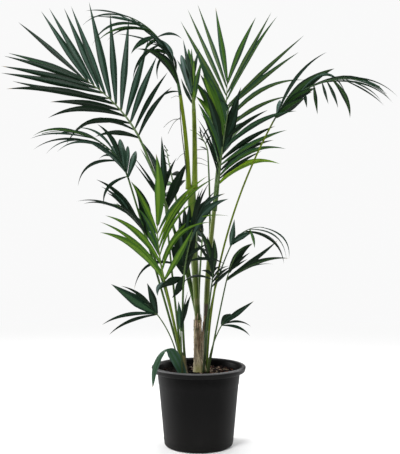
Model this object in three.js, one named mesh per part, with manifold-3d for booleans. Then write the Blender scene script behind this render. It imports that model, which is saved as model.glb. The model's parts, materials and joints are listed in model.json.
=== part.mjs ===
// A kentia palm of several stems in its round nursery pot, filled with bark compost.
// Millimetres, +Z up. The origin is the middle of the pot's flat underside and the
// plant's broad side faces -Y. Angles are in degrees: `lean` is away from upright
// towards +X, and `away` is the tilt towards +Y.

import * as THREE from 'three';
import { mergeVertices } from 'three/addons/utils/BufferGeometryUtils.js';
import Module from 'manifold-3d';

const wasm = await Module();
wasm.setup();

// ---------------------------------------------------------------- driving dimensions

const POT = {
  height: 205,
  rimRadius: 120, // a 24 cm pot, measured over its rolled lip
  shoulderRadius: 105.5, // body just under the lip
  footRadius: 88, // body just above the rounded foot
  footRounding: 9,
  wall: 2.4,
  floor: 4,
  floorCorner: 5, // slope between the floor and the inside of the wall
  lipDrop: 14, // height of the rolled lip
  lipTop: 6, // width of the flat on top of the lip
  lipRounding: 4,
  lipInset: 4, // depth of the slope inside the lip
  bandHeight: 160, // where the body steps in by a hair
  bandStep: 0.8,
  bandSlope: 2, // height of that step
  sides: 36,
};

const SOIL_LEVEL = 188;
const CLEAR = 0.3; // gap that neighbouring pieces keep
const LEAFLET_CLEAR = 0.4;
const GROUND = SOIL_LEVEL + CLEAR; // where every stem is cut flat

const FINISHES = {
  pot: { color: 0x26282a, roughness: 0.45, metalness: 0 },
  soil: { color: 0x3a2a20, roughness: 0.95, metalness: 0 },
  trunk: { color: 0x8a7d68, roughness: 0.75, metalness: 0 },
  sheath: { color: 0x6f8a35, roughness: 0.6, metalness: 0 },
  dark: { color: 0x1f3d2c, roughness: 0.5, metalness: 0 },
  mid: { color: 0x35602a, roughness: 0.5, metalness: 0 },
  bright: { color: 0x5c8a2c, roughness: 0.5, metalness: 0 },
};

// The woody trunk, the green sheath above it and the slighter stems of the clump.
const STEMS = [
  { name: 'trunk', foot: [3, 0, GROUND], length: 134, lean: [-5, 0], away: [0, 0],
    radius: [14.5, 8.6, 8], sides: 12, colour: 'trunk' },
  { name: 'sheath', foot: [-2.5, 0, GROUND + 134.3], length: 332, lean: [-3, -2.5], away: [0, 0],
    radius: [8, 10, 11], sides: 12, colour: 'sheath' },
  { name: 'stem_right', foot: [18, 25, GROUND], length: 412, lean: [-1, 7], away: [0, 0],
    radius: [8.5, 7.6, 5.6], sides: 10, colour: 'sheath' },
  { name: 'stem_left', foot: [-41, -15, GROUND], length: 52, lean: [-3, -8], away: [0, 0],
    radius: [9.5, 8, 7.5], sides: 10, colour: 'trunk' },
  { name: 'stem_front_left', foot: [-38, -46, GROUND], length: 50, lean: [-2, -6], away: [0, 0],
    radius: [11, 9.5, 8.5], sides: 10, colour: 'trunk' },
];

const both = (left, right) => ({ left, right });

// One row per frond. `lean` and `away` are given at the foot of the stalk, at the foot
// of the blade and at the blade's tip; `leaflet` and `splay` at the blade's foot, middle
// and tip; `roll` turns the blade's upper face from -Y round its own rib; `rise` lifts
// the leaflets off the blade's plane, and `sag` lets their tips hang.
const FRONDS = [
  { name: 'upper_left', foot: [-2, 0, 322], stalk: 487, blade: 255, radius: [4.6, 3.2],
    lean: [-12, -24, -58], away: [4, 12, 22], roll: 0, pairs: 12, width: 24,
    leaflet: both([120, 265, 230], [165, 255, 210]),
    splay: both([66, 37, 14], [64, 33, 4]), rise: both(12, 12), sag: both(0.2, 0.03), colour: 'dark' },
  { name: 'crest', foot: [-25.5, -3, 654.6], stalk: 238, blade: 270, radius: [5.4, 3.2],
    lean: [-1, -9, -84], curl: 1.5, away: [-5, -10, -18], roll: -60, pairs: 9, width: 16, splitAt: 0.47,
    leaflet: both([110, 160, 150], [90, 140, 150]),
    splay: both([50, 36, 8], [40, 26, 8]), rise: both(-20, -25), sag: both(1.7, 1), colour: 'dark' },
  { name: 'spear', foot: [-10.5, 3, 654.6], stalk: 202, blade: 110, radius: [6.6, 3.4],
    lean: [1, -2, -10], away: [5, 10, 18], roll: 0, pairs: 5, width: 17,
    leaflet: both([110, 110, 80], [110, 110, 70]),
    splay: both([24, 16, 8], [14, 12, 10]), rise: both(40, 40), sag: both(0.05, 0.05), colour: 'bright' },
  { name: 'upper_right', foot: [33, 27, 515], stalk: 287, blade: 155, radius: [4, 2.8],
    lean: [3, 9, 1], away: [9, 14, 20], roll: 0, pairs: 8, width: 20,
    leaflet: both([200, 280, 200], [170, 260, 190]),
    splay: both([36, 28, 8], [66, 46, 22]), rise: both(15, 15), sag: both(0.02, 0.06), colour: 'mid' },
  { name: 'centre_right', foot: [40, 25, 600.2], stalk: 62, blade: 225, radius: [5.2, 3.4],
    lean: [12, 5, 10], away: [-10, -14, -26], roll: 0, pairs: 8, width: 24,
    leaflet: both([130, 235, 200], [190, 200, 150]),
    splay: both([24, 17, 9], [52, 46, 20]), rise: both(15, 15), sag: both(0.05, 0.35), colour: 'mid' },
  { name: 'rear_thin', foot: [27, 30, 440], stalk: 325, blade: 100, radius: [3, 2],
    lean: [2, -3, -70], away: [15, 22, 36], roll: -60, pairs: 4, width: 10,
    leaflet: both([110, 130, 110], [110, 130, 110]),
    splay: both([40, 30, 14], [40, 30, 14]), rise: both(0, 0), sag: both(0.5, 0.5), colour: 'mid' },
  { name: 'far_right', foot: [21, 8, GROUND], stalk: 665, blade: 300, radius: [3.4, 2.4],
    lean: [1, 28, 118], away: [0, -11, -22], roll: 62, pairs: 9, width: 18, splitAt: 0.47,
    leaflet: both([170, 125, 75], [110, 115, 70]),
    splay: both([22, 28, 16], [46, 40, 20]), rise: both(0, 0), sag: both(0.6, 1.3), colour: 'dark' },
  { name: 'far_left', foot: [-46, -18, 228], stalk: 474, blade: 265, radius: [3.4, 2.6],
    lean: [-15, -16, -108], away: [-3, -14, -22], roll: -60, pairs: 9, width: 18, splitAt: 0.47,
    leaflet: both([150, 120, 65], [110, 100, 60]),
    splay: both([66, 52, 22], [30, 30, 22]), rise: both(0, 0), sag: both(1.2, 0.6), colour: 'dark' },
  { name: 'left', foot: [-45, -41, 222], stalk: 333, blade: 125, radius: [3.2, 2.4],
    lean: [-8, -21, -56], away: [-2, -22, -30], roll: -25, pairs: 6, width: 20,
    leaflet: both([120, 140, 130], [140, 130, 110]),
    splay: both([58, 42, 18], [34, 20, 6]), rise: both(10, 10), sag: both(0.35, 0.1), colour: 'dark' },
  { name: 'left_bright', foot: [-42, -53, 222], stalk: 212, blade: 150, radius: [3.4, 2.8],
    lean: [-10, -13, 0], away: [-6, -10, -20], roll: 0, pairs: 7, width: 20,
    leaflet: both([120, 180, 185], [150, 240, 200]),
    splay: both([50, 46, 6], [44, 33, 22]), rise: both(8, 8), sag: both(0.1, 0.12), colour: 'bright' },
  { name: 'left_inner', foot: [-44, -10, 225], stalk: 386, blade: 90, radius: [3.2, 2.4],
    lean: [-7, -6, 2], away: [13, 18, 28], roll: 0, pairs: 6, width: 18,
    leaflet: both([120, 125, 140], [150, 140, 130]),
    splay: both([30, 16, 2], [34, 26, 14]), rise: both(15, 15), sag: both(0.1, 0.1), colour: 'dark' },
  { name: 'heart', foot: [-34, -44, 222], stalk: 203, blade: 150, radius: [3.2, 2.6],
    lean: [-5, 3, 18], away: [-6, -18, -32], roll: 0, pairs: 6, width: 24,
    leaflet: both([110, 110, 90], [110, 150, 130]),
    splay: both([42, 30, 16], [38, 28, 14]), rise: both(5, 5), sag: both(0.1, 0.1), colour: 'dark' },
  { name: 'right_inner', foot: [12, -22, GROUND], stalk: 218, blade: 100, radius: [3.2, 2.4],
    lean: [3, 7, 4], away: [0, -16, -34], roll: 0, pairs: 5, width: 20,
    leaflet: both([90, 130, 120], [70, 85, 70]),
    splay: both([66, 36, 16], [52, 36, 18]), rise: both(5, 5), sag: both(0.3, 0.2), colour: 'mid' },
  { name: 'low_right', foot: [24, -6, GROUND], stalk: 237, blade: 70, radius: [2.8, 2],
    lean: [10, 12, 26], away: [0, -8, -18], roll: 10, pairs: 4, width: 16,
    leaflet: both([70, 80, 70], [110, 130, 110]),
    splay: both([34, 22, 8], [60, 42, 20]), rise: both(8, 8), sag: both(0.1, 0.35), colour: 'dark' },
  { name: 'low_right_rear', foot: [22, 24, 290], stalk: 230, blade: 130, radius: [2.8, 2],
    lean: [6, 26, 100], away: [4, 24, 36], roll: 60, pairs: 4, width: 15,
    leaflet: both([80, 100, 90], [70, 115, 100]),
    splay: both([36, 26, 12], [45, 36, 14]), rise: both(10, 10), sag: both(0.9, 1.6), colour: 'dark' },
  { name: 'young_left', foot: [-47, -66, GROUND], stalk: 172, blade: 45, radius: [2.6, 2],
    lean: [-2, -36, -56], away: [-3, -12, -16], roll: 0, pairs: 3, width: 16,
    leaflet: both([120, 135, 105], [95, 90, 115]),
    splay: both([74, 60, 8], [14, 8, 2]), rise: both(8, 8), sag: both(0.15, 0.05), colour: 'dark' },
  { name: 'young_right', foot: [22, -31, GROUND], stalk: 134, blade: 40, radius: [2.6, 2],
    lean: [3, 28, 40], away: [-3, -14, -16], roll: 0, pairs: 3, width: 15,
    leaflet: both([35, 35, 60], [80, 80, 85]),
    splay: both([20, 14, 8], [72, 50, 16]), rise: both(8, 8), sag: both(0.1, 0.3), colour: 'dark' },
  { name: 'young_pair', foot: [-40, -72, GROUND], stalk: 112, blade: 14, radius: [2.2, 1.8],
    lean: [-3, -1, 0], away: [0, -4, -6], roll: 0, pairs: 1, width: 14,
    leaflet: both([78, 78, 78], [92, 92, 92]),
    splay: both([5, 5, 5], [17, 17, 17]), rise: both(10, 10), sag: both(0.05, 0.05), colour: 'dark' },
  { name: 'rear_left', foot: [-5, 6, 330], stalk: 322, blade: 250, radius: [3.8, 2.8],
    lean: [-10, -11, -16], away: [14, 26, 78], roll: 0, pairs: 7, width: 20,
    leaflet: both([120, 160, 110], [120, 160, 110]),
    splay: both([60, 44, 18], [60, 44, 18]), rise: both(15, 15), sag: both(0.4, 0.4), colour: 'mid' },
  { name: 'rear_right', foot: [20, 31, 335], stalk: 404, blade: 240, radius: [3.8, 2.8],
    lean: [3, 6, 16], away: [14, 22, 80], roll: 0, pairs: 7, width: 20,
    leaflet: both([120, 165, 110], [120, 165, 110]),
    splay: both([60, 44, 18], [60, 44, 18]), rise: both(15, 15), sag: both(0.4, 0.4), colour: 'mid' },
  { name: 'rear_low', foot: [-2, 6, 262], stalk: 225, blade: 230, radius: [3.4, 2.6],
    lean: [0, 4, 8], away: [18, 38, 104], roll: 0, pairs: 7, width: 20,
    leaflet: both([110, 130, 90], [110, 130, 90]),
    splay: both([60, 46, 20], [60, 46, 20]), rise: both(10, 10), sag: both(0.5, 0.5), colour: 'mid' },
];

// A single broad leaf that rises beside the trunk and folds over the pot's rim. It is a
// strip whose edges stand above its centre line, by `edge`, and whose keel hangs below it.
const RIM_LEAF = {
  foot: [-23, -71, GROUND], stalk: 55, blade: 125, width: 28, splitAt: 0.42, curl: 0.6,
  lean: [-16, -30, -185], away: [-18, -20, -22], roll: [-50, -80, -40], colour: 'dark',
  edge: 0.9, keel: 1.4, steps: { step: 5, turn: 10 }, lastSection: 0.94,
};

// A leaflet's cross sections lie at these shares of its length, from its root on. Its
// thickness is a share of its length, but never under `thinnest`, and tapers to the tip.
const LEAFLET = {
  sections: [0, 0.28, 0.62],
  steps: 20, // short steps that its midrib is walked in
  rootHalfWidth: 0.8,
  twist: 0.42, // radians that it turns about its midrib, like a louvre
  thickness: 1 / 90,
  thinnest: 1.2,
  thinning: 0.45,
  keel: 0.6, // share of the thickness that lies below the midrib
};

// How far chance moves a leaflet: degrees of splay and of rise, shares of length and sag.
const SPREAD = { splay: 3, rise: 6, length: 0.05, sag: 0.25 };
const PAIR_OFFSET = 0.15; // shares of a pair's spacing that its two leaflets stand apart

// The longest step along a limb, and the most degrees that it may turn in one step.
const STALK = { sides: 5, step: 60, turn: 20 };
const RIB = { sides: 3, step: 50, turn: 8, tipRadius: 1 };
const STEM_STEPS = 5;
const WALK_STEP = 10; // step in which a centre line is walked

// Turns that are tried, in order, on a leaflet that would touch another frond:
// lift off the blade's plane, splay, and share of its length.
const NUDGES = [
  [0, 0, 1], [9, 0, 1], [-9, 0, 1], [0, -6, 1], [0, 6, 1], [18, 0, 1], [-18, 0, 1],
  [9, -6, 0.85], [-9, -6, 0.85], [26, 0, 0.85], [-26, 0, 0.85], [12, 4, 0.65], [-12, -8, 0.65],
];

// ---------------------------------------------------------------- the growing rule

const radians = THREE.MathUtils.degToRad;
const mix = (a, b, t) => a + (b - a) * t;
const chance = (seed, step) => {
  const x = Math.sin(seed * 12.9898 + step * 78.233) * 43758.5453;
  return (x - Math.floor(x)) * 2 - 1;
};

// The smooth curve through three values that stand at t = 0, 0.5 and 1.
const through = ([a, b, c], t) => a * (1 - t) * (1 - 2 * t) + 4 * b * t * (1 - t) + c * t * (2 * t - 1);

function heading(lean, away) {
  const flat = Math.cos(radians(away));
  return new THREE.Vector3(
    Math.sin(radians(lean)) * flat, Math.sin(radians(away)), Math.cos(radians(lean)) * flat);
}

// The lean and tilt of a frond at a distance along its stalk and blade.
function bearing(frond, along) {
  const blade = along > frond.stalk;
  const t = blade
    ? Math.min(1, (along - frond.stalk) / frond.blade) ** (frond.curl ?? 1)
    : along / frond.stalk;
  const from = blade ? 1 : 0;
  return {
    lean: mix(frond.lean[from], frond.lean[from + 1], t),
    away: mix(frond.away[from], frond.away[from + 1], t),
  };
}

// The centre line of a frond, walked in short steps.
function centreLine(frond) {
  const length = frond.stalk + frond.blade;
  const count = Math.ceil(length / WALK_STEP);
  const pace = length / count;
  const points = [new THREE.Vector3(...frond.foot)];
  for (let i = 0; i < count; i++) {
    const { lean, away } = bearing(frond, (i + 0.5) * pace);
    points.push(points[i].clone().addScaledVector(heading(lean, away), pace));
  }
  return (along) => {
    const place = Math.min(along / pace, count - 1e-9);
    const i = Math.floor(place);
    return points[i].clone().lerp(points[i + 1], place - i);
  };
}

// The directions of the blade at a place along it: the rib, its right side, its upper face.
function bladeFrame(frond, along, turn = frond.roll) {
  const { lean, away } = bearing(frond, along);
  const rib = heading(lean, away);
  const side = new THREE.Vector3(Math.cos(radians(lean)), 0, -Math.sin(radians(lean)));
  const face = side.clone().cross(rib);
  const roll = radians(turn);
  return {
    rib,
    side: side.clone().multiplyScalar(Math.cos(roll)).addScaledVector(face, Math.sin(roll)),
    face: face.clone().multiplyScalar(Math.cos(roll)).addScaledVector(side, -Math.sin(roll)),
  };
}

// How wide a leaflet is at a share u of its length, as a share of its widest.
const leafletShape = (u) => (0.25 + 0.75 * Math.sin((Math.PI / 2) * Math.min(u / 0.4, 1)))
  * (1 - u * u) ** 1.3 / 0.85;

// Where a leaflet stands on its blade, as a share of the blade's length.
const leafletShare = (frond, pair, side) => (pair + 0.5 + PAIR_OFFSET * side) / frond.pairs;

// The midrib of one leaflet: its places, directions and length.
function leafletLine(frond, line, pair, side, seed, [lift, turn, share]) {
  const hand = side > 0 ? 'right' : 'left';
  const t = leafletShare(frond, pair, side);
  const along = frond.stalk + frond.blade * t;
  const { rib, side: across, face } = bladeFrame(frond, along);
  const key = seed * 40 + pair * 2 + (side > 0 ? 1 : 0);
  const splay = radians(through(frond.splay[hand], t) + SPREAD.splay * chance(key, 1) + turn);
  const rise = radians(frond.rise[hand] + SPREAD.rise * chance(key, 2) + lift);
  const length = through(frond.leaflet[hand], t) * (1 + SPREAD.length * chance(key, 3)) * share;
  const sag = frond.sag[hand] * (1 + SPREAD.sag * chance(key, 4));
  const start = rib.clone().multiplyScalar(Math.cos(splay))
    .addScaledVector(across, Math.sin(splay) * side * Math.cos(rise))
    .addScaledVector(face, Math.sin(splay) * Math.sin(rise));
  const way = (u) => new THREE.Vector3(start.x, start.y, start.z - sag * u * u).normalize();
  const points = [line(along)];
  for (let i = 0; i < LEAFLET.steps; i++) {
    const step = length / LEAFLET.steps;
    points.push(points[i].clone().addScaledVector(way((i + 0.5) / LEAFLET.steps), step));
  }
  return { rib, way, length, place: (u) => points[Math.round(u * LEAFLET.steps)] };
}

// ---------------------------------------------------------------- closed meshes

function geometryOf(positions, triangles) {
  const geometry = new THREE.BufferGeometry();
  geometry.setAttribute('position', new THREE.Float32BufferAttribute(positions.flat(), 3));
  geometry.setIndex(triangles.flat());
  return geometry;
}

// A closed skin over rings of equal count, which ends in a cap or in a point.
function skin(rings, tip = null) {
  const positions = rings.flat();
  const count = rings[0].length;
  const triangles = [];
  for (let r = 0; r + 1 < rings.length; r++) {
    for (let i = 0; i < count; i++) {
      const a = r * count + i;
      const b = r * count + ((i + 1) % count);
      triangles.push([a, b, a + count], [b, b + count, a + count]);
    }
  }
  for (let i = 1; i + 1 < count; i++) triangles.push([0, i + 1, i]);
  const last = (rings.length - 1) * count;
  if (tip) {
    positions.push(tip);
    const point = positions.length - 1;
    for (let i = 0; i < count; i++) triangles.push([last + i, last + ((i + 1) % count), point]);
  } else {
    for (let i = 1; i + 1 < count; i++) triangles.push([last, last + i, last + i + 1]);
  }
  return geometryOf(positions, triangles);
}

// A round limb along a line from one distance to another, with its radius as a function of
// the share of the way. A limb that stands on the ground is cut level there.
function limb(frond, line, from, to, radius, sides, steps, level = false) {
  const rings = [];
  for (let i = 0; i <= steps; i++) {
    const t = i / steps;
    const along = mix(from, to, t);
    const centre = line(along);
    const { rib, side } = bladeFrame(frond, along, 0);
    const flat = level && i === 0;
    const right = flat ? new THREE.Vector3(1, 0, 0) : side;
    const front = flat ? new THREE.Vector3(0, 1, 0) : rib.clone().cross(side);
    rings.push(Array.from({ length: sides }, (_, k) => {
      const turn = (2 * Math.PI * k) / sides;
      return centre.clone()
        .addScaledVector(right, Math.cos(turn) * radius(t))
        .addScaledVector(front, Math.sin(turn) * radius(t))
        .toArray();
    }));
  }
  return skin(rings);
}

// A leaflet: a thin blade with a keel below its midrib, at least a hundredth of its length thick.
// Its root is narrow and sunk to the middle of the rib, whose direction it keeps as its level
// from section to section.
function leafletBlade({ rib, way, length, place }, width, side) {
  const level = rib.clone();
  const rings = LEAFLET.sections.map((u) => {
    const along = way(u);
    level.addScaledVector(along, -level.dot(along)).normalize();
    const across = level.clone().applyAxisAngle(along, LEAFLET.twist * side);
    const below = across.clone().cross(along).normalize();
    const half = u === 0 ? LEAFLET.rootHalfWidth : (width / 2) * leafletShape(u);
    const deep = Math.max(length * LEAFLET.thickness, LEAFLET.thinnest) * (1 - LEAFLET.thinning * u);
    const edge = place(u).clone().addScaledVector(below, deep * (LEAFLET.keel - 1));
    return [
      edge.clone().addScaledVector(across, half),
      edge.clone().addScaledVector(across, -half),
      edge.clone().addScaledVector(below, deep),
    ].map((corner) => corner.toArray());
  });
  return skin(rings, place(1).toArray());
}

// ---------------------------------------------------------------- joining and cutting

function solidOf(geometry) {
  const bare = geometry.clone();
  bare.deleteAttribute('normal');
  bare.deleteAttribute('uv');
  const merged = mergeVertices(bare, 1e-4);
  const mesh = new wasm.Mesh({
    numProp: 3,
    vertProperties: new Float32Array(merged.attributes.position.array),
    triVerts: new Uint32Array(merged.index.array),
  });
  const solid = new wasm.Manifold(mesh);
  return solid.volume() < 0 ? solidOf(turnedOut(merged)) : solid;
}

function turnedOut(geometry) {
  const index = geometry.index.array;
  for (let i = 0; i < index.length; i += 3) [index[i + 1], index[i + 2]] = [index[i + 2], index[i + 1]];
  return geometry;
}

function meshOf(name, solid, finish) {
  const { vertProperties, triVerts } = solid.getMesh();
  const geometry = new THREE.BufferGeometry();
  geometry.setAttribute('position', new THREE.BufferAttribute(new Float32Array(vertProperties), 3));
  geometry.setIndex(new THREE.BufferAttribute(new Uint32Array(triVerts), 1));
  geometry.computeVertexNormals();
  const mesh = new THREE.Mesh(geometry, new THREE.MeshStandardMaterial(FINISHES[finish]));
  mesh.name = name;
  return mesh;
}

// The largest of the separate pieces that a cut leaves.
const largest = (solid) => solid.decompose().reduce((best, piece) => (
  piece.volume() > best.volume() ? piece : best));

function boxesMeet(a, b, margin) {
  const one = a.boundingBox();
  const two = b.boundingBox();
  return [0, 1, 2].every((k) => one.min[k] - margin < two.max[k] && two.min[k] - margin < one.max[k]);
}

const isClear = (solid, others, gap) => others.every((other) => (
  !boxesMeet(solid, other, gap) || solid.minGap(other, gap * 2) >= gap));

// ---------------------------------------------------------------- pot and soil

function latheOf(profile) {
  const points = [...profile, profile[0]].map(([radius, z]) => new THREE.Vector2(radius, z));
  const geometry = new THREE.LatheGeometry(points, POT.sides);
  return geometry.rotateX(Math.PI / 2);
}

// Radius of the outside of the pot's body at a height, and of its inside, which is straight.
const bodyRadius = (z) => mix(POT.footRadius, POT.shoulderRadius, z / (POT.height - POT.lipDrop))
  - (z < POT.bandHeight ? POT.bandStep : 0);
const insideRadius = (z) => mix(POT.footRadius, POT.shoulderRadius, z / (POT.height - POT.lipDrop))
  - POT.bandStep - POT.wall;

// Points of a quarter circle in the profile's plane, from one angle to another.
const quarter = (radius, z, rounding, from, steps) => Array.from({ length: steps + 1 }, (_, i) => {
  const turn = radians(from + (90 * i) / steps);
  return [radius + rounding * Math.cos(turn), z + rounding * Math.sin(turn)];
});

function rolledLip() {
  const { height, rimRadius, lipDrop, lipTop, lipRounding, lipInset } = POT;
  const under = height - lipDrop;
  const middle = rimRadius - lipRounding;
  return [
    [bodyRadius(under), under],
    ...quarter(middle, under + lipRounding, lipRounding, -90, 2),
    ...quarter(middle, height - lipRounding, lipRounding, 0, 2),
    [middle - lipTop, height],
    [insideRadius(height), height - lipInset],
  ];
}

function potSolid() {
  const { footRounding, bandHeight, bandSlope, floor, floorCorner } = POT;
  return solidOf(latheOf([
    [0, 0],
    ...quarter(bodyRadius(footRounding) - footRounding, footRounding, footRounding, -90, 3),
    [bodyRadius(bandHeight - bandSlope), bandHeight - bandSlope],
    [bodyRadius(bandHeight), bandHeight],
    ...rolledLip(),
    [insideRadius(footRounding), footRounding],
    [insideRadius(footRounding) - floorCorner, floor],
    [0, floor],
  ]));
}

function soilSolid() {
  const { footRounding, floor, floorCorner } = POT;
  return solidOf(latheOf([
    [0, floor + CLEAR],
    [insideRadius(footRounding) - floorCorner - CLEAR, floor + CLEAR],
    [insideRadius(footRounding) - CLEAR, footRounding + CLEAR],
    [insideRadius(SOIL_LEVEL) - CLEAR, SOIL_LEVEL],
    [0, SOIL_LEVEL],
  ]));
}

// ---------------------------------------------------------------- stems, stalks and fronds

// A stem follows the same rule as a stalk, with no blade after it. It can be made fatter
// and longer by a margin.
function stemSolid(stem, margin = 0) {
  const [x, y, z] = stem.foot;
  const length = stem.length + 2 * margin;
  const course = {
    foot: [x, y, z - margin], stalk: length, blade: 1,
    lean: [...stem.lean, 0], away: [...stem.away, 0],
  };
  const radius = (t) => through(stem.radius, t) + margin;
  return solidOf(limb(course, centreLine(course), 0, length, radius, stem.sides, STEM_STEPS, true));
}

// How many steps a limb takes between two distances along its frond.
function stepsOver(frond, from, to, { step, turn }) {
  const start = bearing(frond, from);
  const end = bearing(frond, to);
  const bend = Math.hypot(end.lean - start.lean, end.away - start.away);
  return Math.max(2, Math.ceil((to - from) / step), Math.ceil(bend / turn));
}

function stalkSolid(frond, line) {
  const [foot, top] = frond.radius;
  const end = frond.stalk - CLEAR / 2;
  const radius = (t) => mix(foot, top, t);
  const count = stepsOver(frond, 0, end, STALK);
  const onGround = frond.foot[2] === GROUND;
  return solidOf(limb(frond, line, 0, end, radius, STALK.sides, count, onGround));
}

// The rib of a blade between two shares of its length.
function ribSolid(frond, line, from, to) {
  const start = frond.stalk + frond.blade * from + CLEAR / 2;
  const end = frond.stalk + frond.blade * to - (to < 1 ? CLEAR / 2 : 0);
  const radius = (t) => mix(frond.radius[1], RIB.tipRadius, mix(from, to, t));
  const count = stepsOver(frond, start, end, RIB);
  return solidOf(limb(frond, line, start, end, radius, RIB.sides, count));
}

// The stretches of a blade that are nodes of their own: two where it bends far.
const stretches = (frond) => (frond.splitAt
  ? [{ tail: '_inner', from: 0, to: frond.splitAt }, { tail: '_outer', from: frond.splitAt, to: 1 }]
  : [{ tail: '', from: 0, to: 1 }]);

// How wide the rim leaf is at a share t of its length, as a share of its widest.
const rimLeafShape = (t) => Math.min(1, 0.55 + 1.6 * t) * (1 - t ** 3) ** 0.8;

// A stretch of the rim leaf, which lies along its own centre line.
function rimLeafSolid({ from, to }) {
  const leaf = RIM_LEAF;
  const line = centreLine(leaf);
  const length = leaf.stalk + leaf.blade;
  const start = from === 0 ? 0 : length * from + CLEAR / 2;
  const end = to === 1 ? length * leaf.lastSection : length * to - CLEAR / 2;
  const count = stepsOver(leaf, start, end, leaf.steps);
  const rings = Array.from({ length: count + 1 }, (_, i) => {
    const along = mix(start, end, i / count);
    const t = along / length;
    const { side: across, face } = bladeFrame(leaf, along, through(leaf.roll, t));
    const half = (leaf.width / 2) * rimLeafShape(t);
    const centre = line(along);
    const onGround = i === 0 && from === 0;
    return [
      centre.clone().addScaledVector(across, half).addScaledVector(face, leaf.edge),
      centre.clone().addScaledVector(across, -half).addScaledVector(face, leaf.edge),
      centre.clone().addScaledVector(face, -leaf.keel),
    ].map((corner) => [corner.x, corner.y, onGround ? GROUND : corner.z]);
  });
  return solidOf(to === 1 ? skin(rings, line(length).toArray()) : skin(rings));
}

// ---------------------------------------------------------------- the whole plant

const plant = new THREE.Group();
const placed = [];

function place(name, solid, finish) {
  plant.add(meshOf(name, solid, finish));
  placed.push(solid);
}

plant.add(meshOf('pot', potSolid(), 'pot'));
plant.add(meshOf('soil', soilSolid(), 'soil'));

for (const stem of STEMS) place(stem.name, stemSolid(stem), stem.colour);

// A stalk is cut by the stems that it grows from, so that it meets them CLEAR apart.
const sleeves = STEMS.map((stem) => stemSolid(stem, CLEAR));
const grown = FRONDS.map((frond, i) => ({ frond, line: centreLine(frond), seed: i + 1 }));
for (const { frond, line } of grown) {
  const cut = sleeves.reduce((solid, sleeve) => solid.subtract(sleeve), stalkSolid(frond, line));
  place(`stalk_${frond.name}`, largest(cut), frond.colour);
}

for (const part of stretches(RIM_LEAF)) {
  place(`rim_leaf${part.tail}`, rimLeafSolid(part), RIM_LEAF.colour);
}

const blades = grown.flatMap(({ frond, line, seed }) => stretches(frond).map((part) => ({
  frond, line, seed, part, name: `frond_${frond.name}${part.tail}`,
  solid: ribSolid(frond, line, part.from, part.to),
})));

// A leaflet that keeps clear of the other solids, after a nudge if it needs one, or null.
function leafletWithRoom({ frond, line, seed }, pair, side, others) {
  for (const nudge of NUDGES) {
    const midrib = leafletLine(frond, line, pair, side, seed, nudge);
    const leaflet = solidOf(leafletBlade(midrib, frond.width, side));
    if (isClear(leaflet, others, LEAFLET_CLEAR)) return leaflet;
  }
  return null;
}

// Every leaflet keeps clear of all stems and stalks, of the other ribs and of the
// leaflets that stand already. One that finds no room is left out.
for (const blade of blades) {
  const { frond, part } = blade;
  const others = [...placed, ...blades.filter((other) => other !== blade).map((other) => other.solid)];
  for (let pair = 0; pair < frond.pairs; pair++) {
    for (const side of [-1, 1]) {
      const share = leafletShare(frond, pair, side);
      if (share < part.from || share >= part.to) continue;
      const leaflet = leafletWithRoom(blade, pair, side, others);
      if (leaflet) blade.solid = blade.solid.add(leaflet);
    }
  }
}

for (const { name, solid, frond } of blades) plant.add(meshOf(name, largest(solid), frond.colour));

export default plant;
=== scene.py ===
import json
import math
import random

import bmesh
import bpy
import numpy as np
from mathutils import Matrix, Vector, noise


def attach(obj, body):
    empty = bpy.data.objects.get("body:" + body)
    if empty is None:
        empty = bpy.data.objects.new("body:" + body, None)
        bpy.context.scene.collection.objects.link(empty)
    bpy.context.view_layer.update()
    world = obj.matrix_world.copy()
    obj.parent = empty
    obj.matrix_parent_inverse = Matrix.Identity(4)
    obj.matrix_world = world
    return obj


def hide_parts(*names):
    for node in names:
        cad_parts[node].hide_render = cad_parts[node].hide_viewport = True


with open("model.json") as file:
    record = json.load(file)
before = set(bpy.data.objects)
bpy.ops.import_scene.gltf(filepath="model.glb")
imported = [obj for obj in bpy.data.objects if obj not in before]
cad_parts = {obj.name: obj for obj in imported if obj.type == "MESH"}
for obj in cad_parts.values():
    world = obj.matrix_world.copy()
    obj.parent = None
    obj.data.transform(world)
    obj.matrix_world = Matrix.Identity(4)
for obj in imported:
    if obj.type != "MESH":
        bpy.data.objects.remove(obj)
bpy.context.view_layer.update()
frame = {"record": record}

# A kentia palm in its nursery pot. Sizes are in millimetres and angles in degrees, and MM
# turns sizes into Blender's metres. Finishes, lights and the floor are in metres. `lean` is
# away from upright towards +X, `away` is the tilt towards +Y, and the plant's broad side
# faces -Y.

MM = 0.001

# ---------------------------------------------------------------- sizes

# The camera's frame is `squares` wide and high.
CAMERA = dict(place=(3.3, -2500, 668), pitch=87.5, lens=78.18, sensor=36, squares=(400, 454))

POT = dict(
    height=205,
    rim_radius=120,
    shoulder_radius=105.5,
    foot_radius=88,
    foot_rounding=9,
    foot_ring=(58, 60),  # radii of the ring round the underside's hollow
    foot_hollow=1.6,
    hoop=((16, 0), (18, 0.5), (20, 0.5), (22, 0)),  # heights of a low hoop, and how far it stands out
    wall_rings=(30, 6),  # height of the first ring of the plain wall, and their number
    wall=2.4,
    floor=4,
    floor_corner=5,
    lip_drop=14,
    lip_top=6,
    lip_rounding=4,
    lip_inset=4,
    lip_inside=8,
    band_height=160,
    band_step=0.8,
    band_slope=2,
    sides=144,
)
SOIL_LEVEL = 188
GROUND = 188.3  # height of the stems' feet in the compost

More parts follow.
